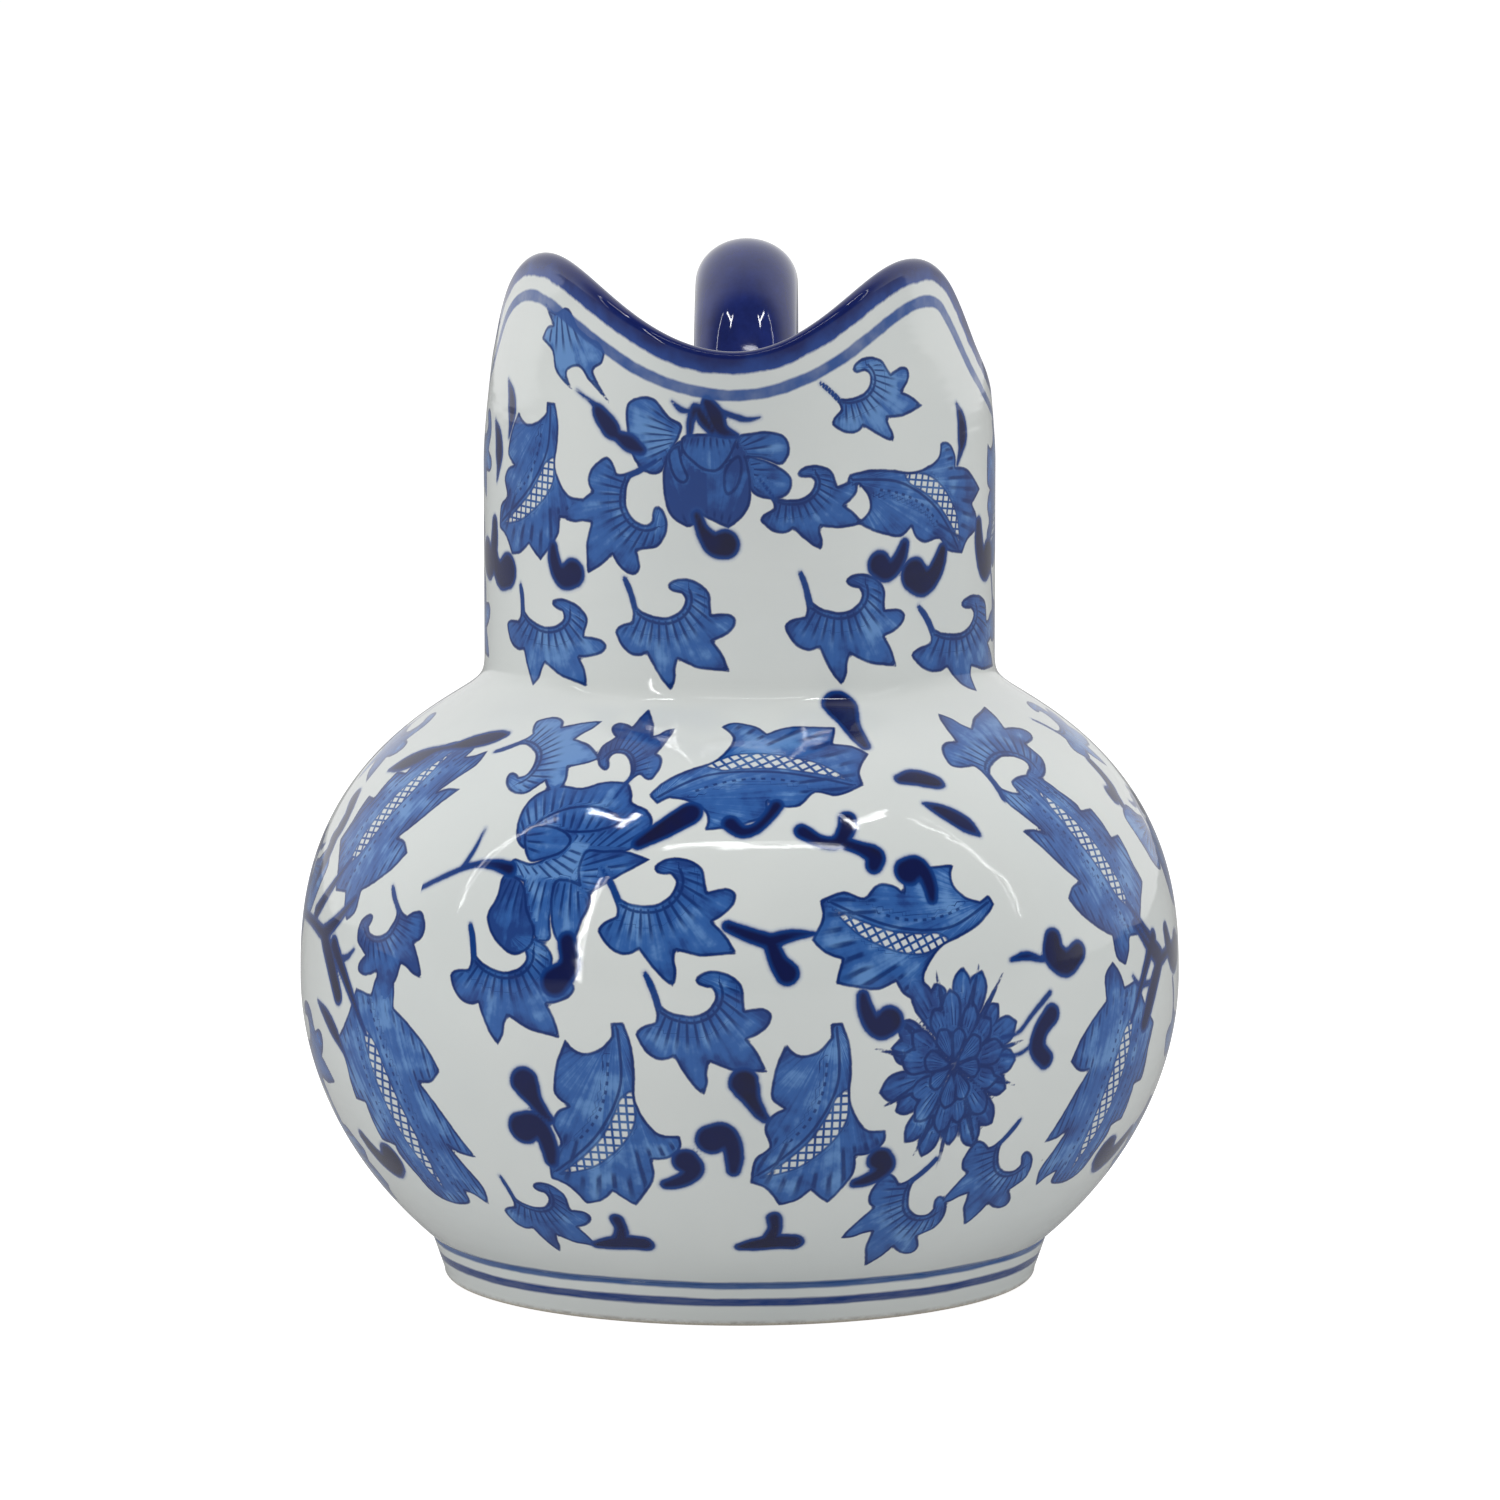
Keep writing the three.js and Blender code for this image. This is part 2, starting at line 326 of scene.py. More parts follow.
def from_edge(p, a, b):
    """How far from a to b the nearest place to each point lies, 0 to 1, and the point's offset from it."""
    edge = b - a
    t = np.clip(((p - a) @ edge) / max(edge @ edge, 1e-9), 0, 1)
    return t, p - a - t[:, None] * edge


def area_distance(p, shape):
    """Distance of points from a closed outline, negative inside."""
    best = np.full(len(p), 1e9)
    inside = np.zeros(len(p), bool)
    for a, b in zip(shape, np.roll(shape, -1, 0)):
        _, gap = from_edge(p, a, b)
        best = np.minimum(best, gap[:, 0] ** 2 + gap[:, 1] ** 2)
        x, y = b - a
        if abs(y) > 1e-12:
            crosses = (a[1] > p[:, 1]) != (b[1] > p[:, 1])
            inside ^= crosses & (p[:, 0] < a[0] + (p[:, 1] - a[1]) * x / y)
    best = np.sqrt(best)
    return np.where(inside, -best, best)


def stroke_distance(p, line, width_scale):
    """Distance of points from a stroke whose third value is its half width, negative inside."""
    best = np.full(len(p), 1e9)
    for a, b in zip(line[:-1], line[1:]):
        t, gap = from_edge(p, a[:2], b[:2])
        best = np.minimum(best, np.hypot(*gap.T) - (a[2] + (b[2] - a[2]) * t) * width_scale)
    return best


def side_distance(p, line):
    """Distance of points from an open line, positive on its left, and how far along it they lie."""
    best, signed = np.full((2, len(p)), 1e9)
    along = np.zeros(len(p))
    travelled = 0.0
    for a, b in zip(line[:-1], line[1:]):
        t, offset = from_edge(p, a, b)
        gap = np.hypot(*offset.T)
        x, y = b - a
        side = np.sign(x * (p[:, 1] - a[1]) - y * (p[:, 0] - a[0]))
        length = math.hypot(x, y)
        nearer = gap < best - 1e-9
        best = np.where(nearer, gap, best)
        signed = np.where(nearer, gap * side, signed)
        along = np.where(nearer, travelled + t * length, along)
        travelled += length
    return signed, along


def fill(shape, fan=None, layer=0, tone=0.0, hatch=99.0):
    """A washed area. Its fan is a centre, a spacing in degrees, and the reach where veins start and end;
    hatch is how far in from the outline the veins run."""
    return {"shape": outline(shape), "fan": fan, "layer": layer, "tone": tone, "hatch": hatch}


def motif(fills=(), ribs=(), lens=None, dots=(), inks=(), pitch=1.45):
    """A drawing in millimetres about its own middle: washed areas, ribs drawn over them, a latticed lens of
    a pitch, rows of dots beside the lens, and strokes of dark ink."""
    return {"fills": list(fills), "ribs": [brush_line(r) for r in ribs],
            "lens": None if lens is None else outline(lens), "dots": [brush_line(d) for d in dots],
            "inks": [brush_line(s) for s in inks], "pitch": pitch}


def curled_leaf():
    body = [
        (-8.4, 9.4, 1), (-7.2, 7.4), (-6.1, 3.9, 1), (-4.4, 2.8), (-1.2, 2.2), (0.9, 2.8), (2.3, 4.1),
        (2.8, 5.6), (2.1, 6.8, 1), (1.2, 6.9), (0, 7.4), (-0.3, 8.3), (0.8, 9.1), (2.7, 9.4), (4.8, 8.8),
        (6.4, 7.6), (7.1, 6.4), (7.2, 4.5), (7.3, 2.9, 1), (9, 3.1), (10.5, 3), (11.6, 2), (11.1, 0.4),
        (9.4, -1), (7.5, -1.8, 1), (9.2, -4.2), (10.5, -7.3, 1), (8.2, -7.1), (5.1, -6.8), (3.1, -6),
        (1.3, -5.2, 1), (0.9, -7), (0.9, -8.8), (0.2, -10.8, 1), (-1.2, -9.4), (-2.8, -7), (-4.3, -4.2, 1),
        (-5.6, -4.8), (-7.3, -4.6), (-8.9, -3.4), (-10.2, -1.2), (-10.2, -0.2), (-9, 0.7), (-7.1, 1.2, 1),
        (-6.9, 2.8), (-7.7, 5.9), (-8.9, 9, 1),
    ]
    bowl = [(-6, 2.8), (-4.2, 1.7), (-1.1, 1.1), (1.6, 1.9), (3.3, 3.6), (3.9, 5.6), (3.6, 7.2)]
    stem = [(-8.6, 9.2, 0.35), (-7.4, 6.3, 0.4), (-6.4, 3.6, 0.3)]
    return motif([fill(body, fan=(-2, 9.5, 8.4, 7.5, 13.5))], ribs=[bowl], inks=[stem])


def lattice_leaf():
    body = [
        (2.2, 16.5, 1), (4.3, 16.6, 1), (5.7, 12.8), (6.1, 8.4), (5.9, 4.1), (7.3, 0.6), (9.6, -2),
        (12.9, -2.2, 1), (12.9, -4.4), (10.4, -6.4), (7.7, -6.7, 1), (7.6, -10.2), (5.6, -13.4),
        (3.4, -16.2, 1), (1.6, -14.8), (0, -13.3, 1), (-2.4, -15.5), (-5.4, -16.4, 1), (-6.8, -14.3),
        (-8.4, -12.6), (-11, -11.6, 1), (-10.6, -7), (-8.1, -4.6), (-9.2, -1.2), (-8, 1.2),
        (-5.8, 2.3, 1), (-8.2, 4.2), (-8.1, 7.2), (-7.4, 10), (-5.9, 13.4, 1), (-4.6, 12), (-2.4, 11.3),
        (0.4, 12.3), (2.4, 14.3, 1),
    ]
    lens = [
        (5.5, 5.6, 1), (6, 2.8), (5.3, -0.6), (3.4, -3.6), (0.6, -6.3), (-3.2, -8.9), (-9.4, -10.7, 1),
        (-6, -8.2), (-2.6, -5.2), (0, -2.3), (2.2, 1.4), (3.4, 4),
    ]
    midrib = [(3.3, 15.6), (3.8, 11), (3.7, 7), (2.6, 3.6), (0.6, 0), (-2.2, -3.6), (-6.4, -7.4), (-9.8, -10)]
    dots = [(1.6, 10.5), (1.3, 6.8), (0.3, 3.2), (-1.8, -0.6), (-4.4, -3.4)]
    return motif([fill(body, fan=(3, 16, 5.6, 21.5, 33), hatch=4.2)], ribs=[midrib], lens=lens, dots=[dots])


def feather_leaf():
    body = [
        (-5.7, 17.5), (-3.4, 18.2), (-1, 17.2), (0.8, 14.2), (2.7, 11.4), (3, 9.8, 1), (5.4, 9.9, 1),
        (6.5, 6.8), (7.2, 4, 1), (9.2, 4.3, 1), (10, 1.4), (10.6, -1.2), (12.2, -4.5, 1), (10.9, -7.1),
        (10, -9.8), (9.3, -13.4, 1), (6.5, -13.4, 1), (6.2, -16), (5.4, -18.2, 1), (3.4, -16.6),
        (2.7, -12.8, 1), (0.2, -11.3), (-2.7, -8.7), (-4.7, -5.7, 1), (-3.6, -3.6), (-2, -3, 1),
        (-4.4, 0), (-6.6, 3.6), (-8.7, 7.2, 1), (-6.8, 7.2), (-5.3, 6.3, 1), (-7.2, 9.6), (-8.8, 12.8),
        (-8.8, 16.2, 1), (-7.4, 14.9), (-6.1, 14.5, 1), (-6.4, 16.4),
    ]
    lens = [
        (-3.3, 15.8, 1), (-1.6, 12.6), (0.4, 9), (2.6, 4.4), (4.6, -0.6), (5.9, -4), (7.3, -8.6, 1),
        (5, -6.6), (3.3, -3.4), (1.4, 0.8), (-0.6, 5.6), (-2.2, 10.8),
    ]
    left = [(-4.8, 14.4), (-3.9, 11), (-1.2, 4.2), (1.6, -2.4), (4, -7.6), (6.8, -12.2)]
    right = [(-1.3, 15.6), (0.9, 12.4), (3.9, 6.2), (6.3, -0.4), (8.3, -7)]
    stem = [(6.6, -7.4, 0.35), (9.4, -11.2, 0.7), (12.4, -14.8, 1), (15.4, -17.8, 1.25)]
    return motif(
        [fill(body, fan=(-27.2, 70.5, 0.75, 40, 110), hatch=2.6)],
        lens=lens, dots=[left, right], inks=[stem], pitch=1.2)


def sprig():
    body = [
        (-6.6, 8.2, 1), (-4.1, 6.2), (-1.6, 7.3), (0.6, 4, 1), (2.9, 2.2), (5, 1.2), (6.1, -0.6, 1),
        (5.6, -2.6), (4.2, -4.2), (7.3, -9.8, 1), (3.3, -5.4, 1), (1.6, -3.3), (-0.6, -4.4), (0.7, -7.7, 1),
        (-2.5, -4.6), (-3.7, -0.8), (-6.1, 1.3, 1), (-5.3, 3.5), (-4.1, 4, 1),
    ]
    return motif([fill(body, fan=(-4, 12, 7, 6, 14), tone=-0.35)])


def peony():
    sack = [
        (-3.8, 5.9), (-6.8, 4.1), (-7.9, 0), (-7.4, -4.6), (-6.1, -7.4), (-3.2, -9.1, 1), (-1.5, -8.2),
        (-0.7, -7, 1), (1.2, -7.9), (3.9, -9.1, 1), (6.2, -7.4), (7.9, -4.6), (8, 0), (7, 3.7), (3.8, 5.6),
    ]
    bib = [(-4.3, 6.4), (-4.5, 4.1), (-2.7, 2.2), (-0.3, 0.7), (2.1, 0.6), (4.2, 2.6), (5.5, 4.9), (6, 6.5),
           (3.2, 6.6), (0, 6.9)]
    left_fold = [(-7, 3.4), (-5.2, 4.8), (-4.4, 2), (-3.2, -0.6), (-4.4, -1.6), (-6.2, 0)]
    right_fold = [(4.3, 2), (6.3, 3.2), (6.6, 0.2), (5.4, -2.6), (3.6, -3.4), (3.2, -0.4)]
    left_wing = [
        (-4.6, 8), (-7.3, 9.7), (-10.2, 12.5), (-13.1, 12.9), (-15.7, 11.6), (-15.5, 8.4), (-14.5, 4.6),
        (-13.3, 2), (-10.7, 0), (-8.3, 0.3), (-6.6, 3.6),
    ]
    right_wing = [
        (6, 6.3), (9, 7.1), (11.9, 7.3), (14.6, 6.6), (15.6, 4.9), (15.1, 2.9), (13.6, 1.6), (10.4, 2.7),
        (6.4, 3.2),
    ]
    low_wing = [(6.2, 3.4), (10.4, 2.5), (13.3, 1.3), (15.4, -0.6), (15.1, -2.8), (13.1, -4.2), (9.2, -3.7),
                (7.2, -1.2)]
    inks = [
        [(-2.2, 11.2, 1), (-2.9, 9.2, 0.9), (-3.1, 7, 0.7)],
        [(0.2, 12.2, 1.3), (1.8, 10, 1.9), (3, 7.6, 1.5), (6, 6.6, 0.5)],
        [(-1.6, 10.9, 1.2), (-0.4, 9.2, 1.3), (1.2, 7.4, 1)],
        [(-6.9, 12.4, 0.2), (-5.1, 11, 0.55), (-2.9, 10.6, 0.4)],
        [(2.7, 10.8, 0.5), (6.1, 9.7, 0.6), (8.3, 9.3, 0.45), (10.6, 9.7, 0.15)],
    ]
    return motif([
        fill(left_wing, fan=(-2.6, 6.4, 9, 4, 10.5), tone=-0.1),
        fill(low_wing, fan=(4.6, 1, 12, 3, 8.5), tone=0.15),
        fill(right_wing, fan=(4.2, 3.8, 12, 3, 9), layer=1, tone=0.1),
        fill(sack, fan=(0.4, -18, 7, 9, 12.5), layer=1, tone=0.35),
        fill(left_fold, layer=2, tone=0.1), fill(right_fold, layer=2, tone=0.5),
        fill(bib, fan=(0.6, 18, 5.5, 11, 14.2), layer=2, tone=0.1),
    ], inks=inks)


def lotus():
    crown = [
        (-8.8, 2), (-10, 6.6), (-8.6, 10.8), (-4.8, 13.2), (-0.6, 13), (2.9, 14.5), (6.5, 14.4), (8, 12.4),
        (8.6, 10.6), (11.4, 9.2), (12.8, 7), (12.2, 4.7), (9.5, 1.4), (3, 0.4), (-4, 0.4),
    ]
    fold = [(-6.6, 5.2), (-3.6, 8.2), (0.6, 9.6), (4.8, 9.2), (7.8, 7), (4.8, 5.2), (0.6, 4.6)]
    heart = [(-8, 4.6), (-5.6, 5.6), (-1.6, 5), (0.4, 3.2), (-0.7, 1), (-3.8, -0.4), (-6, -0.8), (-7.6, 1.6)]
    tongue = [(3.4, 1.6), (6.2, 1.6), (9.5, 1.8), (13.9, 0.4, 1), (10.8, -1.7), (7.4, -4), (4.9, -5.6),
              (3.4, -4.4), (2.6, -1.4)]
    calyx = [(-9, -0.6), (-5.5, -1.2), (-1, 1.4), (2.6, 2.6), (4.6, 0), (4.6, -3.4), (-0.3, -4.6),
             (-6.4, -4.4), (-9.2, -3)]
    left = [(-10.2, -3.4), (-10.9, -7.2), (-12.3, -10.4), (-10.4, -14), (-6.9, -16.1), (-4, -14.8),
            (-3.3, -12.1), (-5, -8.8), (-6.6, -4.4)]
    middle = [(-6.5, -4), (-3.3, -3.6), (-0.6, -4.6), (-0.9, -9.8), (-0.5, -13.2), (-2.9, -13.5),
              (-4.9, -10.1)]
    right = [(-0.9, -3.8), (3.6, -4.2), (5.6, -6.6), (4.6, -10), (3.3, -13.5), (0.8, -13.5), (-0.7, -10.1)]
    inks = [
        [(-31, -9, 0.35), (-24, -5.6, 0.45), (-17, -2.4, 0.55), (-12.4, -1.9, 1), (-9.4, -2.4, 1.4)],
        [(-18.6, -3, 0.5), (-16.9, 0.6, 0.4), (-15.9, 4.2, 0.2)],
        [(18.1, 8.6, 2.4), (15, 5.9, 2), (11.6, 3.2, 1.3)],
        [(2.4, -13.4, 1.7), (3, -17.3, 1.9), (0.7, -19.9, 2.6)],
    ]
    return motif([
        fill(crown, fan=(-2, -6, 5.5, 10, 20), tone=0.1),
        fill(calyx, fan=(-14, 6, 5, 8, 22), tone=-0.3),
        fill(middle, fan=(-1.6, 8, 5, 10, 19), tone=-0.2),
        fill(left, fan=(-6, 4, 6, 8, 15), layer=1, tone=0.45),
        fill(right, fan=(1, 6, 6, 9, 17), layer=1, tone=0.1),
        fill(tongue, fan=(-2, -3, 9, 6, 15), layer=1, tone=0.1),
        fill(fold, fan=(0, -4, 8, 9.5, 13), layer=1, tone=0.3),
        fill(heart, fan=(-12, 2.6, 13, 4.4, 8.4), layer=2, tone=0.15),
    ], inks=inks)


def many_petals():
    """A round flower of three rings of pointed petals, with thin spikes that stand out past them."""
    fills = []
    # Each ring: petals, where they start, how far they reach, and half a petal's angle
    rings = ((17, 3, 13, 0.20), (13, 2.4, 9.6, 0.25), (8, 0.2, 5.8, 0.37))
    for layer, (petals, start, reach, half) in enumerate(rings):
        for k in range(petals):
            angle = 2 * math.pi * (k + 0.37 * layer) / petals + 0.05 * math.sin(2.9 * k)
            tip = reach * (1 + 0.09 * math.sin(2.3 * k + layer))
            petal = [(start, -half * 0.5), (tip * 0.66, -half), (tip * 0.88, -half * 0.72), (tip, 0),
                     (tip * 0.88, half * 0.72), (tip * 0.66, half), (start, half * 0.5)]
            shape = [(r * math.cos(angle + a), r * math.sin(angle + a)) for r, a in petal]
            shape[3] += (1,)
            fills.append(fill(shape, fan=(0, 0, 5.5, tip * 0.45, tip * 0.86), layer=layer,
                              tone=0.25 - 0.12 * layer + 0.22 * math.sin(3.1 * k)))
    spikes = 11
    for k in range(spikes):
        angle = 2 * math.pi * (k + 0.3) / spikes + 0.14 * math.sin(2 * k)
        side = np.array([-math.sin(angle), math.cos(angle)]) * 0.5
        out = np.array([math.cos(angle), math.sin(angle)])
        fills.append(fill([tuple(out * 8 + side), tuple(out * (14.6 + math.sin(1.7 * k))) + (1,),
                           tuple(out * 8 - side)], layer=1, tone=0.1))
    tube = [
        [(9.5, 3.2, 0.35), (13.2, 3.6, 0.35), (16.4, 5.8, 0.45), (20.6, 8.4, 0.5)],
        [(9.5, 0.8, 0.35), (13.4, 0.6, 0.35), (17.4, 2.2, 0.35), (20.8, 4.2, 0.35)],
    ]
    return motif(fills, inks=tube)


def strokes(*lines):
    return motif(inks=lines)


MOTIFS = {
    "curled": curled_leaf(), "lattice": lattice_leaf(), "feather": feather_leaf(), "sprig": sprig(),
    "peony": peony(), "lotus": lotus(), "petals": many_petals(),
    "comma": strokes(
        [(-2.4, 4.4, 1.3), (-2.2, 2, 1.7), (-1.4, -0.6, 1.9), (0.2, -1.9, 2.4), (1.9, -0.9, 2.9)]),
    "drop": strokes([(-1.7, -7.5, 1.1), (-0.6, -10.2, 1.4), (1.4, -12.5, 2.2), (3.4, -12.5, 2.8)]),
    "blot": strokes([(-2.2, 3.2, 1.8), (0.4, 3.4, 2.2), (2.2, 1.4, 1.7), (1.7, -1.8, 1.4), (2, -4.8, 1.1)]),
    "tadpole": strokes([(-1.3, 2.2, 2.9), (0, -0.6, 1.8), (1.4, -3, 1.4), (2.6, -4.4, 1)]),
    "kidney": strokes([(1.5, 3.6, 1.9), (-0.4, 1, 1.7), (-0.9, -2.2, 1.8), (0.8, -4.6, 1.7)]),
    "heart": strokes(
        [(-9, -0.6, 0.4), (-6.6, -0.2, 0.75), (-4, -1.2, 0.5)],
        [(-1.9, 2, 1.9), (-1.9, -0.4, 2.3), (0.2, -2.4, 2.2), (2.4, -0.8, 1.9)]),
    "ovals": strokes([(-6.6, 5.6, 0.2), (-3.1, 3.4, 0.5), (-1.9, 1.9, 1.4), (0.3, -0.6, 1.8),
                      (1.6, -1.9, 1.1), (3.8, -3.1, 1.6), (5.8, -4.2, 1)]),
    "pods": strokes([(-9, -5, 0.4), (-6.2, -3.4, 1.5), (-3.4, -1.6, 1.7), (-0.8, 0.4, 0.9), (1.6, 1.4, 0.8),
                     (4.4, 2.8, 1.6), (7.2, 4.2, 1.7), (8.8, 5, 0.9)]),
    "slim": strokes([(-0.6, 5, 0.25), (0.3, 2, 1.1), (0.5, -1, 1.3), (0.2, -3.6, 0.7), (-0.4, -6.4, 0.2)]),
    "oval": strokes([(-3.2, 0.6, 1.1), (-0.4, 0.8, 1.8), (2.8, -0.2, 1.6), (4, -0.8, 0.9)]),
    "blade": strokes([(-4, 2.8, 0.4), (-1.2, 1.2, 1.4), (2, -1.2, 1.6), (4, -3.2, 0.5)]),
    "hook": strokes([(-4.2, -1.4, 1.7), (-2.2, -2.8, 1.4), (0.4, -2.2, 1.2), (2.8, 0, 1.2), (4.2, 1.9, 1.4)]),
    "swan": strokes(
        [(-5.6, 1.4, 1.6), (-2.6, -0.4, 1.3), (0.4, -0.6, 1.4), (2.3, 1.6, 1.7), (2.8, 3.4, 1.7)],
        [(1.6, -0.8, 1.3), (4.2, -1.8, 1.4), (6.8, -3.2, 1.9), (6.4, -4.9, 1.6)]),
    "fork": strokes(
        [(-7.6, 2.8, 1.2), (-4, 1.3, 1.5), (0, 0, 1.6)], [(0, 0, 1.6), (4, 1.1, 1.2), (8, 1.3, 0.5)],
        [(0.2, -0.4, 1.6), (1.4, -3.6, 1.9), (3, -5.8, 2.4)]),
    "hook_blot": strokes(
        [(2.2, 6.2, 1.8), (2.6, 2.2, 2), (2, -1.2, 2.2), (-1, -3.2, 2.3), (-1.8, -2.2, 2)],
        [(1.2, -3, 2), (1.2, -5.6, 1.6)]),
    "paw": strokes(
        [(-4.8, -2.4, 1), (-1.8, -1.9, 1.6), (1.6, -1.5, 1.8), (4.2, -1.6, 1.8)],
        [(0.2, -1, 1.5), (0.9, 1.2, 1.2), (0.6, 3, 1.3)]),
    "twigs": strokes(
        [(0, 0, 1.5), (3.4, 3.6, 1), (6.6, 8.4, 0.6)], [(0, 0, 1.6), (2.6, -5, 1.7), (4.6, -10.4, 1.5)],
        [(0, 0, 1.2), (-5, 1.4, 0.9), (-11, 1.6, 0.7)], [(2.4, -3.2, 0.5), (6.2, -3, 0.5), (8, -1, 0.3)]),
}

